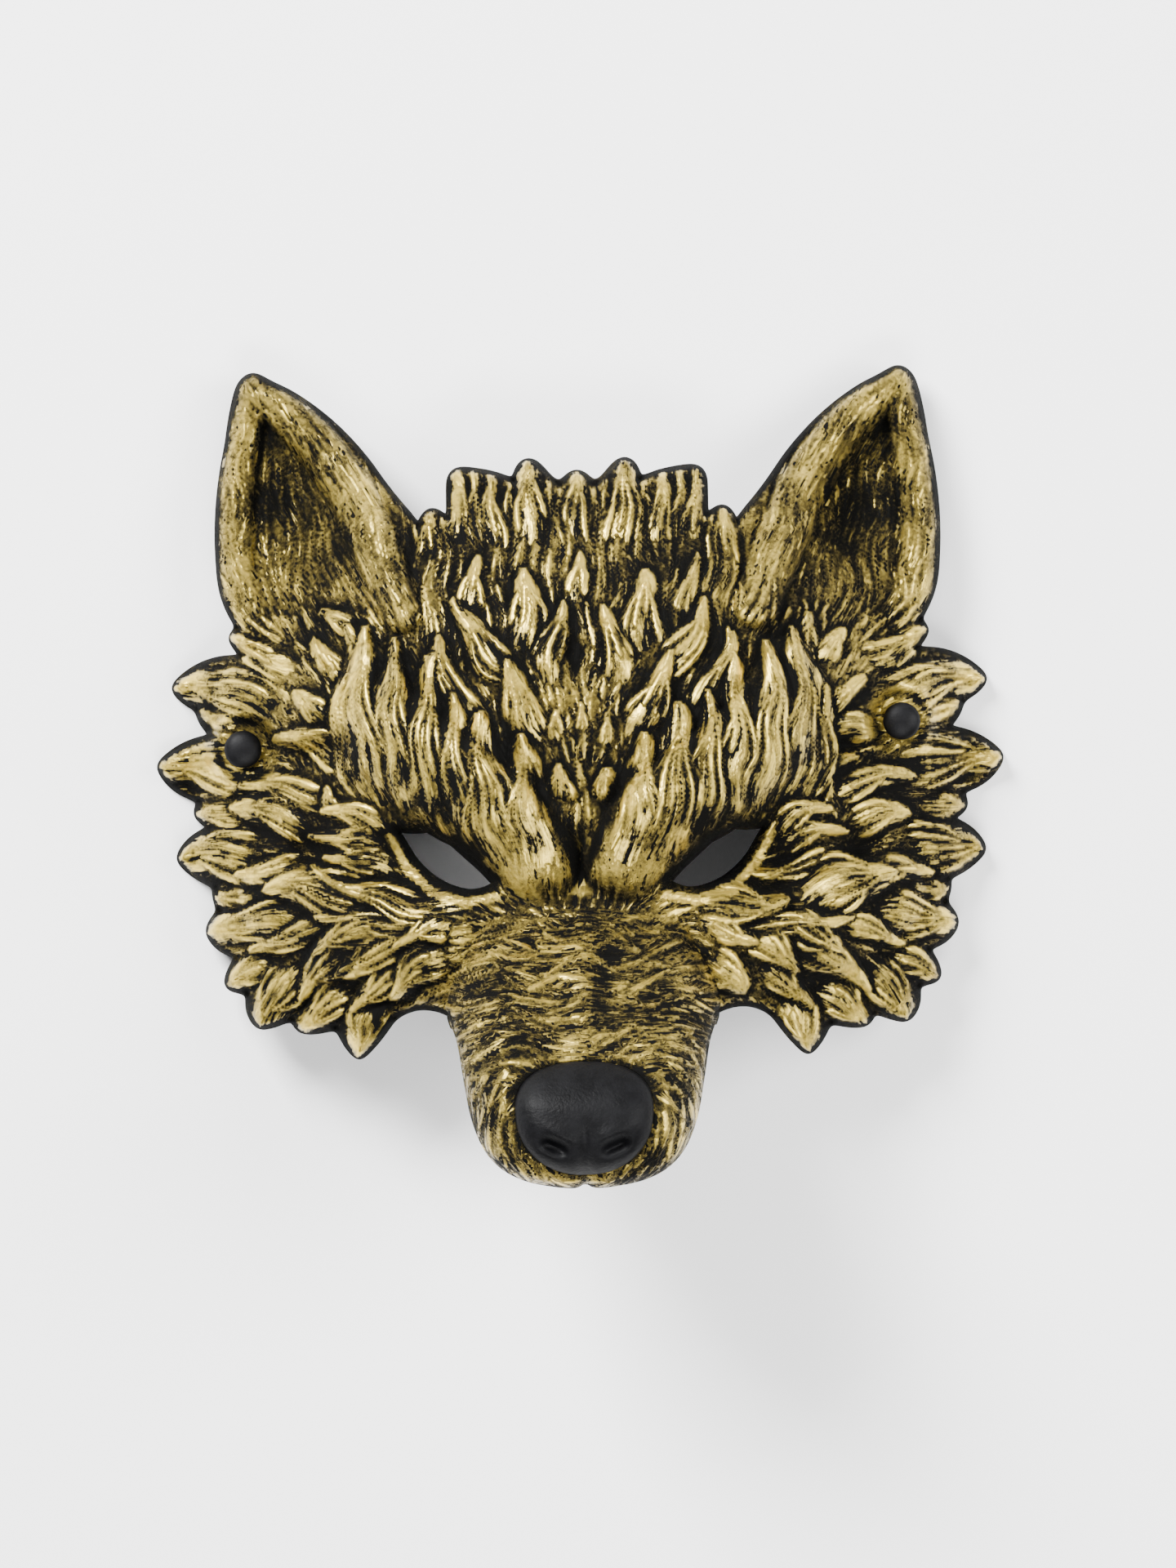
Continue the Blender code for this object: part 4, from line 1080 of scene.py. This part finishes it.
across = np.where(on_muzzle, muzzle_across, across)
lock_number = np.where(on_muzzle, muzzle_number + MUZZLE_NUMBERS, lock_number)
lid = rolls_out(plan, LIDS)
bulb = np.exp(-((np.abs(plan[:, 0]) - 17.0)**2 / 160.0 + (plan[:, 1] + 26.0)**2 / 150.0))
relief *= 1.0 - 0.85 * np.minimum(bulb * 1.2, 1.0) * (1.0 - muzzle_share)
# the crease runs up from the bridge, round the inner end of each brow
crease_side = np.abs(plan[:, 0]) - 0.44 * (plan[:, 1] + 29.0)
crease = np.exp(-(crease_side / 2.5)**2) * smooth_step((plan[:, 1] + 31.0) / 4.0)
crease *= smooth_step((5.0 - plan[:, 1]) / 9.0)
relief *= 1.0 - 0.75 * crease
pit = np.clip(1.0 - np.abs(plan[:, 0] + 1.0) / 3.4 - np.abs(plan[:, 1] - 35.5) / 7.5, 0.0, 1.0)
relief *= 1.0 - np.minimum(pit * 2.5, 1.0)
tip = np.abs(plan[:, 0]) / 6.5 + np.abs(plan[:, 1] + 33.5) / 4.8
relief = np.maximum(relief, np.maximum(lid, 2.4 * np.clip(1.0 - tip, 0.0, 1.0)))
print("locks laid:", len(sculpted), "sculpted with", len(strands), "strands,", len(coat), "hairs")

# %% [markdown]
# ## Edges, seats and the nose's bed
#
# Foam cut or cast to an edge is never sharp: the last 3 mm roll over. The rivets squeeze
# the foam flat round them, and the nose sits in a shallow bed.

# %% Edges and seats
eye_away = np.full(len(plan), 99.0)
for eye in (eye_right, eye_left):
    loop = eye.at(np.linspace(0, len(eye.bows) - 1e-6, 120))
    eye_away = np.minimum(eye_away, nearest_on_line(plan, loop)[0])
lip_away = np.full(len(plan), 99.0)
low_part = plan[:, 1] < -60
lip_line = foot_line[(foot_line[:, 1] < -69)]
lip_away[low_part] = nearest_on_line(plan[low_part], lip_line)[0]
roll_over = np.clip(edge_away / 3.2, 0.0, 1.0)
edge_drop = 3.0 * (1.0 - np.sqrt(1.0 - (1.0 - roll_over)**2)) * np.clip(lip_away / 4.0, 0, 1)
eye_roll = np.clip(eye_away / 3.0, 0.0, 1.0)
edge_drop += 2.6 * (1.0 - np.sqrt(1.0 - (1.0 - eye_roll)**2))
relief = relief * smooth_step(edge_away / 1.6) * smooth_step(eye_away / 2.0)
relief *= smooth_step(lip_away / 3.0)

NOSE_Y = -99.5
NOSE_HALF = (20.0, 16.5)
NOSE_TAPER = 0.12
NOSE_ROUND = 2.3
BED_DEPTH = 3.0


def nose_reach(points):
    """1 on the nose's edge, less inside it."""
    y = (points[:, 1] - NOSE_Y) / NOSE_HALF[1]
    taper = 1.0 + NOSE_TAPER * np.clip(y, -1, 1)
    x = points[:, 0] / (NOSE_HALF[0] * taper)
    return (np.abs(x)**NOSE_ROUND + np.abs(y)**NOSE_ROUND)**(1 / NOSE_ROUND)


reach = nose_reach(plan)
relief *= smooth_step((reach - 0.95) / 0.2)
bed = BED_DEPTH * smooth_step((1.0 - reach) / 0.08)
under_fur = smooth - edge_drop - bed * muzzle_share
front = np.column_stack([plan, seated(plan, under_fur, 0.0)])
seat_share = np.zeros(len(plan))
for x, y in RIVETS.values():
    away = np.hypot(plan[:, 0] - x, plan[:, 1] - y)
    seat_share = np.maximum(seat_share, 1.0 - smooth_step((away - RIVET_SEAT) / 4.0))
relief *= 1.0 - seat_share


# %% [markdown]
# ## Raising the fur
#
# On the face the locks stand straight up. On the muzzle's steep wall they stand off the
# surface, along its own normals.

# %% Raised fur
def vertex_normals(points, faces):
    corners = points[faces]
    cross = np.cross(corners[:, 1] - corners[:, 0], corners[:, 2] - corners[:, 0])
    total = np.zeros_like(points)
    for corner in range(3):
        for axis in range(3):
            total[:, axis] += np.bincount(faces[:, corner], cross[:, axis], len(points))
    return total / np.maximum(np.linalg.norm(total, axis=1), 1e-12)[:, None]


normals = vertex_normals(front, faces)
upwards = np.array([0.0, 0.0, 1.0])
by_normal = muzzle_share[:, None]
direction = upwards * (1 - by_normal) + normals * by_normal
direction /= np.linalg.norm(direction, axis=1)[:, None]
front = front + direction * relief[:, None]
print("front from", np.round(front.min(axis=0), 1), "to", np.round(front.max(axis=0), 1))

# %% [markdown]
# ## Where the gold goes
#
# Dry-brushed paint catches on what stands proud of its surroundings. So the surface is
# blurred over the mesh, and the height above the blur says how much gold a point gets: a
# narrow blur finds strands, a wide one finds locks.

# %% Paint map
BASE_GOLD = 0.535
NARROW_BLUR, WIDE_BLUR, WIDEST_BLUR = 5, 50, 80
BARE_EDGE, BARE_EYE = 1.8, 3.4
strand_proud = relief - blurred(relief, mesh_edges, NARROW_BLUR)
lock_proud = relief - blurred(relief, mesh_edges, WIDE_BLUR)
rolls = rolls_out(plan, ROLLS)
roll_proud = rolls - blurred(rolls, mesh_edges, WIDEST_BLUR)
hollow = soft_spots(plan, DENTS)
inner_part = smooth_step(edge_away / 7.0)
# this amount also sets the gold's brightness further on, which paints highlights on the proud spots
gold = BASE_GOLD + strand_proud + lock_proud * 0.18 * inner_part + roll_proud * 0.08
gold -= hollow * 0.03 + 0.09 * muzzle_share
gold -= 0.5 * crease + 0.9 * pit
# the fringe is worn darker than the face
crest = smooth_step((plan[:, 1] - 38.0) / 14.0) * smooth_step((50.0 - np.abs(plan[:, 0])) / 6.0)
gold -= 0.07 * crest
gold += 0.3 * seat_share + 0.15 * bulb + 0.5 * lid + 0.4 * np.clip(1.0 - tip, 0.0, 1.0)
gold -= 0.7 * (1.0 - smooth_step(np.minimum(edge_away / BARE_EDGE, eye_away / BARE_EYE)))
gold = np.clip(gold, 0.0, 1.0)
print("gold covers", round(float((gold > 0.5).mean()), 2), "of the front")

# %% [markdown]
# ## The back and the rim
#
# The back is plain: the same dome, a wall's thickness behind, drawn with few points because
# nobody paints it. A rounded rim joins the two all round, and at the eyes and rivets.

# %% Rim
BACK_ROLLS, BACK_HOLLOWS = 0.6, 0.9
RIM_SWELL = 0.5
LIP_PART = (38.5, -70.0)


def boundary_loops(faces):
    """The closed lines where the front ends, the longest first."""
    directed = np.concatenate([faces[:, [0, 1]], faces[:, [1, 2]], faces[:, [2, 0]]])
    keys = directed.min(axis=1) * 10**7 + directed.max(axis=1)
    _, first, counts = np.unique(keys, return_index=True, return_counts=True)
    following = dict(directed[first[counts == 1]].tolist())
    loops = []
    while following:
        start, here = following.popitem()
        loop = [start]
        while here != start:
            loop.append(here)
            here = following.pop(here)
        loops.append(np.array(loop))
    return sorted(loops, key=len, reverse=True)


def back_out(points):
    """Height of the back: the dome a wall's thickness behind, measured square to it."""
    step = 0.5
    slope_x = face_out(points + [step, 0]) - face_out(points - [step, 0])
    slope_y = face_out(points + [0, step]) - face_out(points - [0, step])
    wall_down = FOAM_WALL * np.minimum(np.hypot(np.hypot(slope_x, slope_y), 1.0), 2.0)
    face = face_out(points) + rolls_out(points, ROLLS) * BACK_ROLLS - soft_spots(points, DENTS) * BACK_HOLLOWS
    whole = smooth_max(face - wall_down, muzzle_out(points, FOAM_WALL), MUZZLE_BLEND)
    return np.maximum(seated(points, whole, FOAM_WALL), 0.0)


loops = boundary_loops(faces)
print("rim loops", [len(loop) for loop in loops])
all_points = [front]
all_faces = [faces]
back_rings = []
total = len(front)
for number, loop in enumerate(loops):
    rim = front[loop]
    around = np.roll(rim, -1, axis=0) - np.roll(rim, 1, axis=0)
    outward = np.column_stack([around[:, 1], -around[:, 0]])
    outward /= np.maximum(np.hypot(*outward.T), 1e-9)[:, None]
    back_plan = plan[loop].copy()
    if number == 0:
        away, _ = nearest_on_line(back_plan, foot_line)
        lip_share = smooth_step((LIP_PART[1] - back_plan[:, 1]) / 5.0) * (away < 0.6)
        lip_share *= np.abs(back_plan[:, 0]) < LIP_PART[0]
        back_plan -= outward * (FOAM_WALL * lip_share)[:, None]
    back_height = np.minimum(back_out(back_plan), rim[:, 2] - 1.6)
    if number == 0:
        back_height = np.where(lip_share > 0.02, rim[:, 2] - 0.2, back_height)
    back_height = np.maximum(back_height, 0.0)
    middle = np.column_stack([
        (rim[:, :2] + back_plan) / 2 + outward * RIM_SWELL, (rim[:, 2] + back_height) / 2])
    if number == 0:
        middle[:, 2] -= lip_share * 1.2
    back = np.column_stack([back_plan, back_height])
    size = len(loop)
    here = loop
    for ring in (middle, back):
        there = total + np.arange(size)
        all_points.append(ring)
        total += size
        next_here, next_there = np.roll(here, -1), np.roll(there, -1)
        all_faces.append(np.column_stack([next_here, here, there]))
        all_faces.append(np.column_stack([next_here, there, next_there]))
        here = there
    back_rings.append((there, back))

# %% [markdown]
# ## The back
#
# A coarse honeycomb fills the back's plan between the rim's inner lines, with closer rings
# where the muzzle's hollow begins.

# %% Back
BACK_STEP = 6.5
CLEAR_OF_RINGS = 2.5
rows = int(130 / BACK_STEP)
honeycomb = np.array([
    (column * BACK_STEP + (BACK_STEP / 2 if row % 2 else 0), row * BACK_STEP * 0.87)
    for row in range(-rows - 4, rows + 5) for column in range(-rows, rows + 1)])
free = inside(honeycomb, back_rings[0][1][:, :2])
for _, ring in back_rings[1:]:
    free &= ~inside(honeycomb, ring[:, :2])
honeycomb = honeycomb[free]
inner_rings = np.vstack([
    foot_point(np.linspace(0, len(foot_ring) - 1, 60), np.full(60, FOAM_WALL + more))
    for more in (0.3, 1.2, 3.2)])
inner_rings = inner_rings[inside(inner_rings, back_rings[0][1][:, :2])]
back_fixed = np.vstack([ring[:, :2] for _, ring in back_rings])
extra = [point for point in inner_rings
         if np.min(np.hypot(*(back_fixed - point).T)) > 0.25]
taken = np.vstack([back_fixed, np.array(extra)])
extra += [point for point in honeycomb if np.min(np.hypot(*(taken - point).T)) > CLEAR_OF_RINGS]
extra = np.array(extra)
flat_points = np.vstack([back_fixed, extra])
edges, start = [], 0
for _, ring in back_rings:
    size = len(ring)
    edges += [(start + n, start + (n + 1) % size) for n in range(size)]
    start += size
flat, _, back_faces, origins, _, _ = delaunay_2d_cdt(
    [Vector(point) for point in flat_points], edges, [], 0, 1e-7)
order = np.array([origin[0] for origin in origins])
back_faces = order[np.array(back_faces)]
middles = flat_points[back_faces].mean(axis=1)
keep = inside(middles, back_rings[0][1][:, :2])
for _, ring in back_rings[1:]:
    keep &= ~inside(middles, ring[:, :2])
back_faces = back_faces[keep]
facing_up = plan_turn(flat_points, back_faces) > 0
back_faces[facing_up] = back_faces[facing_up][:, ::-1]
number_of = np.concatenate([numbers for numbers, _ in back_rings]
                           + [total + np.arange(len(extra))])
all_points.append(np.column_stack([extra, back_out(extra)]))
all_faces.append(number_of[back_faces])
points = np.vstack(all_points)
triangles = np.vstack(all_faces)
print("mask shell", len(points), "points", len(triangles), "triangles")

# %% [markdown]
# ## The mask as one mesh
#
# One mesh holds front, rim and back. Two attributes go with it for the paint: how much gold
# a point gets, and its place along and across its lock.

# %% Mesh object
def add_mesh(name, points, faces, attributes=None):
    """A smooth-shaded object at the origin, from points in millimetres."""
    mesh = bpy.data.meshes.new(name)
    mesh.from_pydata((np.asarray(points) * MM).tolist(), [], [list(face) for face in faces])
    for label, values in (attributes or {}).items():
        kind = "FLOAT_VECTOR" if values.ndim == 2 else "FLOAT"
        layer = mesh.attributes.new(label, kind, "POINT")
        layer.data.foreach_set("vector" if values.ndim == 2 else "value",
                               values.astype(np.float32).ravel())
    mesh.shade_smooth()
    piece = bpy.data.objects.new(name, mesh)
    bpy.context.scene.collection.objects.link(piece)
    return piece


spare = len(points) - len(front)
shell = add_mesh("mask_foam", points, triangles.tolist(), {
    "gold": np.concatenate([gold, np.zeros(spare)]),
    "flow": np.vstack([np.column_stack([along, across, lock_number]),
                       np.zeros((spare, 3))]),
})

# %% [markdown]
# ## Nose
#
# The nose is a domed pad with a flat-sided edge, two slanting nostrils and a groove below.
# It is drawn as rings that shrink towards its middle.

# %% Nose
NOSE_SIDES = 120
NOSE_RINGS = 34
PAD_EDGE, PAD_DOME = 0.4, 4.3
PAD_BELOW = 2.2
NOSTRIL = (8.8, -107.6)
SLANT = (0.92, 0.39)
WING_HEIGHT, NOSTRIL_DEPTH, GROOVE_DEPTH = 0.9, 3.6, 0.8


def nose_ring(shrink, sides):
    """The nose's edge, shrunk towards its middle."""
    turns = 2 * math.pi * (np.arange(sides) + 0.5) / sides
    side, rise = np.cos(turns), np.sin(turns)
    half_x = NOSE_HALF[0] * (1 + NOSE_TAPER * rise)
    x = np.sign(side) * np.abs(side)**(2 / NOSE_ROUND) * half_x
    y = np.sign(rise) * np.abs(rise)**(2 / NOSE_ROUND) * NOSE_HALF[1]
    return np.column_stack([x * shrink, NOSE_Y + y * shrink])


nose_points = []
shrinks = [1.0, 1.0, 0.995, 0.98, 0.955] + list(np.linspace(0.92, 0.04, NOSE_RINGS))
for number, shrink in enumerate(shrinks):
    ring = nose_ring(shrink, NOSE_SIDES)
    base = muzzle_out(ring)
    if number == 0:
        height = base - PAD_BELOW
    else:
        dome = PAD_EDGE + PAD_DOME * (1.0 - shrink**6)**0.5 * (1.0 - 0.25 * shrink**2)
        height = base + dome
        x, y = np.abs(ring[:, 0]) - NOSTRIL[0], ring[:, 1] - NOSTRIL[1]
        along_nostril = x * SLANT[0] + y * SLANT[1]
        aside_nostril = -x * SLANT[1] + y * SLANT[0]
        nostril = np.exp(-((along_nostril / 4.2)**4 + (aside_nostril / 1.9)**2))
        wing = np.exp(-((along_nostril / 6.0)**2 + ((aside_nostril - 3.4) / 2.4)**2))
        height += wing * WING_HEIGHT - nostril * NOSTRIL_DEPTH
        low = np.clip((-101.0 - ring[:, 1]) / 8.0, 0, 1)
        height -= GROOVE_DEPTH * low * np.exp(-(ring[:, 0] / 1.2)**2)
    nose_points.append(np.column_stack([ring, height]))
top = nose_points[-1].mean(axis=0)
bottom = np.array([0.0, NOSE_Y, nose_points[0][:, 2].min()])
nose_faces = []
rings = len(nose_points)
for ring in range(rings - 1):
    for side in range(NOSE_SIDES):
        a = ring * NOSE_SIDES + side
        b = ring * NOSE_SIDES + (side + 1) % NOSE_SIDES
        nose_faces.append([a, b, b + NOSE_SIDES, a + NOSE_SIDES])
last = (rings - 1) * NOSE_SIDES
for side in range(NOSE_SIDES):
    nose_faces.append([last + side, last + (side + 1) % NOSE_SIDES, rings * NOSE_SIDES])
    nose_faces.append([(side + 1) % NOSE_SIDES, side, rings * NOSE_SIDES + 1])
nose = add_mesh("nose_pad", np.vstack(nose_points + [top[None], bottom[None]]), nose_faces)

# %% [markdown]
# ## Rivets
#
# Each rivet is turned: one profile, with back flange, post and domed cap, spun round the
# post's axis.

# %% Rivets
POST, FLANGE, CAP = 2.0, 4.5, 5.5
PLAY = 0.3
CAP_RIM, CAP_DOME = 0.7, 2.5


def turned(name, x, y, profile, sides=56):
    """A closed body from a profile of radius and height."""
    points = []
    for radius, height in profile:
        turns = 2 * math.pi * np.arange(sides) / sides
        points.append(np.column_stack([
            x + radius * np.cos(turns), y + radius * np.sin(turns), np.full(sides, height)]))
    faces = [list(range(sides))[::-1]]
    for ring in range(len(profile) - 1):
        for side in range(sides):
            a = ring * sides + side
            b = ring * sides + (side + 1) % sides
            faces.append([a, b, b + sides, a + sides])
    faces.append([(len(profile) - 1) * sides + side for side in range(sides)])
    return add_mesh(name, np.vstack(points), faces)


rivets = {}
for name, (x, y) in RIVETS.items():
    seat = face_out(np.array([[x, y]]))[0] + RIVET_RISE
    under, cap = seat - FOAM_WALL - PLAY, seat + PLAY
    dome = [(CAP * math.cos(turn), cap + CAP_RIM + CAP_DOME * math.sin(turn))
            for turn in np.linspace(0, math.pi / 2 * 0.96, 12)]
    flange = [(FLANGE - 0.2, under - 1.2), (FLANGE, under - 1.0), (FLANGE, under - 0.1),
              (FLANGE - 0.1, under)]
    profile = flange + [(POST, under), (POST, cap), (CAP - 0.2, cap), (CAP, cap + 0.2)] + dome
    rivets[name] = turned(name + "_cap", x, y, profile)
print("pieces made:", shell.name, nose.name, *[piece.name for piece in rivets.values()])

# %% [markdown]
# ## Materials
#
# One helper adds a node with its settings and links. Colours are written as sRGB hex codes,
# the way they are picked from a photograph, and turned to linear light once.

# %% Material tools
def colour(code):
    channels = [int(code[place:place + 2], 16) / 255 for place in (1, 3, 5)]
    return (*[value / 12.92 if value <= 0.04045 else ((value + 0.055) / 1.055)**2.4
              for value in channels], 1.0)


def add_node(tree, kind, inputs=None, **settings):
    node = tree.nodes.new(kind)
    for name, value in settings.items():
        setattr(node, name, value)
    for name, value in (inputs or {}).items():
        socket = node.inputs[name]
        if isinstance(value, bpy.types.NodeSocket):
            tree.links.new(value, socket)
        else:
            socket.default_value = value
    return node


def new_material(name):
    material = bpy.data.materials.new(name)
    material.use_nodes = True
    return material, material.node_tree, material.node_tree.nodes["Principled BSDF"]


# %% [markdown]
# ## Painted foam
#
# The gold map says how much paint a point gets, and four noises wear it: streaks and bands
# that run along each lock, patches, and a fine speckle. Where the sum is high the foam is
# covered. The same sum sets how bright the gold is, which is partly the paint's own uneven
# tone and partly painted highlight on the proud ridges, with painted shade on the lower gold.

# %% Painted foam
foam, tree, shader = new_material("black_foam_with_dry_brushed_gold_and_painted_highlight")
flow = add_node(tree, "ShaderNodeAttribute", attribute_name="flow")
gold_map = add_node(tree, "ShaderNodeAttribute", attribute_name="gold")
place_at = add_node(tree, "ShaderNodeTexCoord")


def along_locks(scales):
    """A vector that runs with the locks, with features 1 / scale mm long and wide."""
    node = add_node(tree, "ShaderNodeVectorMath", {0: flow.outputs["Vector"], 1: scales},
                    operation="MULTIPLY")
    return node.outputs[0]


def sum_of(operation, first, second):
    return add_node(tree, "ShaderNodeMath", {0: first, 1: second},
                    operation=operation).outputs[0]


def wear(vector, scale, detail, roughness, strength):
    """A noise, and its part above and below the middle at this strength."""
    noise = add_node(tree, "ShaderNodeTexNoise", {
        "Vector": vector, "Scale": scale, "Detail": detail, "Roughness": roughness})
    middle = sum_of("SUBTRACT", noise.outputs[0], 0.5)
    return noise.outputs[0], sum_of("MULTIPLY", middle, strength)


# streaks about 1 mm wide and some 6 mm long, running along each lock
streaks, streak_wear = wear(along_locks((0.17, 0.9, 3.7)), 1.0, 3.0, 0.6, 1.9)
# broad bands along a lock, 3 mm wide and some 20 mm long, where the brush left none
_, band_wear = wear(along_locks((0.045, 0.34, 5.3)), 1.0, 2.0, 0.5, 1.9)
# patches the size of a thumb, where the brush pressed more or less
_, patch_wear = wear(place_at.outputs["Object"], 70.0, 4.0, 0.6, 1.5)
# the foam's fine grain catches paint as specks
_, speck_wear = wear(place_at.outputs["Object"], 900.0, 3.0, 0.7, 0.9)
all_wear = sum_of("ADD", streak_wear, band_wear)
all_wear = sum_of("ADD", all_wear, patch_wear)
all_wear = sum_of("ADD", all_wear, speck_wear)
amount = sum_of("ADD", gold_map.outputs["Fac"], all_wear)
coverage = add_node(tree, "ShaderNodeMapRange", {
    "Value": amount, "From Min": 0.45, "From Max": 0.59}, interpolation_type="SMOOTHSTEP")
covered = coverage.outputs[0]
# the gold's brightness follows the amount: painted highlight where the foam stands proudest, painted shade
# where it lies low, with the noises' uneven tone mixed in
painted_highlight_share = add_node(tree, "ShaderNodeMapRange", {
    "Value": amount, "From Min": 0.5, "From Max": 1.25})
gold_with_painted_highlight = add_node(tree, "ShaderNodeMix", {
    0: painted_highlight_share.outputs[0], 6: colour("#36311F"), 7: colour("#DABE58")}, data_type="RGBA")
base = add_node(tree, "ShaderNodeMix", {
    0: covered, 6: colour("#060605"), 7: gold_with_painted_highlight.outputs[2]}, data_type="RGBA")
tree.links.new(base.outputs[2], shader.inputs["Base Color"])
# the gold is metal flakes in lacquer; bare black foam hardly reflects at all
tree.links.new(sum_of("MULTIPLY", covered, 0.85), shader.inputs["Metallic"])
shader.inputs["Specular IOR Level"].default_value = 0.05
gold_rough = add_node(tree, "ShaderNodeMapRange", {
    "Value": streaks, "From Min": 0.3, "From Max": 0.7, "To Min": 0.26, "To Max": 0.44})
rough = add_node(tree, "ShaderNodeMix", {
    0: covered, 2: 0.8, 3: gold_rough.outputs[0]}, data_type="FLOAT")
tree.links.new(rough.outputs[0], shader.inputs["Roughness"])
grain = add_node(tree, "ShaderNodeTexNoise", {
    "Vector": place_at.outputs["Object"], "Scale": 1400.0, "Detail": 2.0})
skin_height = sum_of("ADD", streaks, sum_of("MULTIPLY", grain.outputs[0], 0.25))
bump = add_node(tree, "ShaderNodeBump", {
    "Height": skin_height, "Strength": 0.6, "Distance": 0.0006})
tree.links.new(bump.outputs[0], shader.inputs["Normal"])
shell.data.materials.append(foam)
print("painted foam has", len(tree.nodes), "nodes")

# %% [markdown]
# ## Black foam and black plastic
#
# The nose keeps the bare black skin, dull and finely pored. The rivets are moulded plastic,
# smoother, with the same faint scuffs.

# %% Black skin and plastic
def black_surface(name, dark, worn, pore_scale, rough_from, rough_to, pore_depth):
    """Black with slightly worn patches; the pores and scuffs are noise."""
    material, tree, shader = new_material(name)
    place = add_node(tree, "ShaderNodeTexCoord")
    scuffs = add_node(tree, "ShaderNodeTexNoise", {
        "Vector": place.outputs["Object"], "Scale": 140.0, "Detail": 5.0, "Roughness": 0.65})
    pores = add_node(tree, "ShaderNodeTexNoise", {
        "Vector": place.outputs["Object"], "Scale": pore_scale, "Detail": 3.0, "Roughness": 0.6})
    worn_share = add_node(tree, "ShaderNodeMapRange", {
        "Value": scuffs.outputs[0], "From Min": 0.4, "From Max": 0.75})
    tint = add_node(tree, "ShaderNodeMix", {
        0: worn_share.outputs[0], 6: colour(dark), 7: colour(worn)}, data_type="RGBA")
    tree.links.new(tint.outputs[2], shader.inputs["Base Color"])
    rough = add_node(tree, "ShaderNodeMapRange", {
        "Value": scuffs.outputs[0], "From Min": 0.3, "From Max": 0.7,
        "To Min": rough_from, "To Max": rough_to})
    tree.links.new(rough.outputs[0], shader.inputs["Roughness"])
    bump = add_node(tree, "ShaderNodeBump", {
        "Height": pores.outputs[0], "Strength": 0.5, "Distance": pore_depth})
    tree.links.new(bump.outputs[0], shader.inputs["Normal"])
    shader.inputs["Specular IOR Level"].default_value = 0.09
    return material


# a dull, finely pored skin, as closed-cell foam has
skin = black_surface("black_foam_skin", "#040405", "#0D0D0F", 900.0, 0.42, 0.62, 0.00035)
nose.data.materials.append(skin)
# harder and smoother: a small soft highlight on each cap
plastic = black_surface("black_rivet_plastic", "#070708", "#131315", 1500.0, 0.4, 0.55, 0.00012)
for piece in rivets.values():
    piece.data.materials.append(plastic)
print("black materials:", skin.name, plastic.name)

# %% [markdown]
# ## Hanging the pieces on the frame
#
# Nothing moves, so every piece rides on the one body. Each replaces its plain CAD solid,
# which is hidden. The mask itself is soft all through.

# %% Frame
for piece, node, slot in (
        (shell, "mask_shell", "painted_foam"), (nose, "nose", "black_skin"),
        (rivets["rivet_left"], "rivet_left", "rivet_plastic"),
        (rivets["rivet_right"], "rivet_right", "rivet_plastic")):
    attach(piece, "root")
    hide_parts(node)
print("pieces hung on the frame: 4")

# %% [markdown]
# ## Floor, light and camera
#
# The mask lies on a plain pale floor under soft light. The camera looks straight down from
# far off, as the product photograph does.

# %% Floor, light and camera
FAR = 3000
floor = add_mesh("floor", [(-FAR, -FAR, 0), (FAR, -FAR, 0), (FAR, FAR, 0), (-FAR, FAR, 0)],
                 [[0, 1, 2, 3]])
paper, tree, shader = new_material("white_paper_floor")
shader.inputs["Base Color"].default_value = colour("#FCFCFC")
shader.inputs["Roughness"].default_value = 0.8
floor.data.materials.append(paper)


def soft_light(name, place, size, power, aim=(0.0, 0.0, 0.03)):
    """A square softbox that points at the mask."""
    light = bpy.data.lights.new(name, "AREA")
    light.shape = "RECTANGLE"
    light.size, light.size_y = size
    light.energy = power
    lamp = bpy.data.objects.new(name, light)
    lamp.location = place
    lamp.rotation_euler = (Vector(aim) - Vector(place)).to_track_quat("-Z", "Y").to_euler()
    bpy.context.scene.collection.objects.link(lamp)


soft_light("key_softbox", (-0.9, 1.1, 1.35), (0.8, 0.8), 142)
soft_light("fill_softbox", (1.3, 0.2, 1.3), (0.9, 0.9), 52)
soft_light("front_softbox", (0.1, -0.85, 1.4), (0.9, 0.4), 28)
world = bpy.data.worlds.new("studio")
bpy.context.scene.world = world
world.use_nodes = True
world.node_tree.nodes["Background"].inputs["Color"].default_value = (1, 1, 1, 1)
world.node_tree.nodes["Background"].inputs["Strength"].default_value = 0.28

CAMERA_HEIGHT = 8.0
FRAME_HEIGHT = 0.4608
lens = bpy.data.cameras.new("camera")
lens.sensor_width = 36.0
lens.lens = 36.0 * (CAMERA_HEIGHT - 0.02) / FRAME_HEIGHT
lens.clip_end = 100.0
camera = bpy.data.objects.new("camera", lens)
camera.location = (0.0022, -0.0024, CAMERA_HEIGHT)
camera.rotation_euler = (0.0, 0.0, math.radians(-0.7))
bpy.context.scene.collection.objects.link(camera)
bpy.context.scene.camera = camera
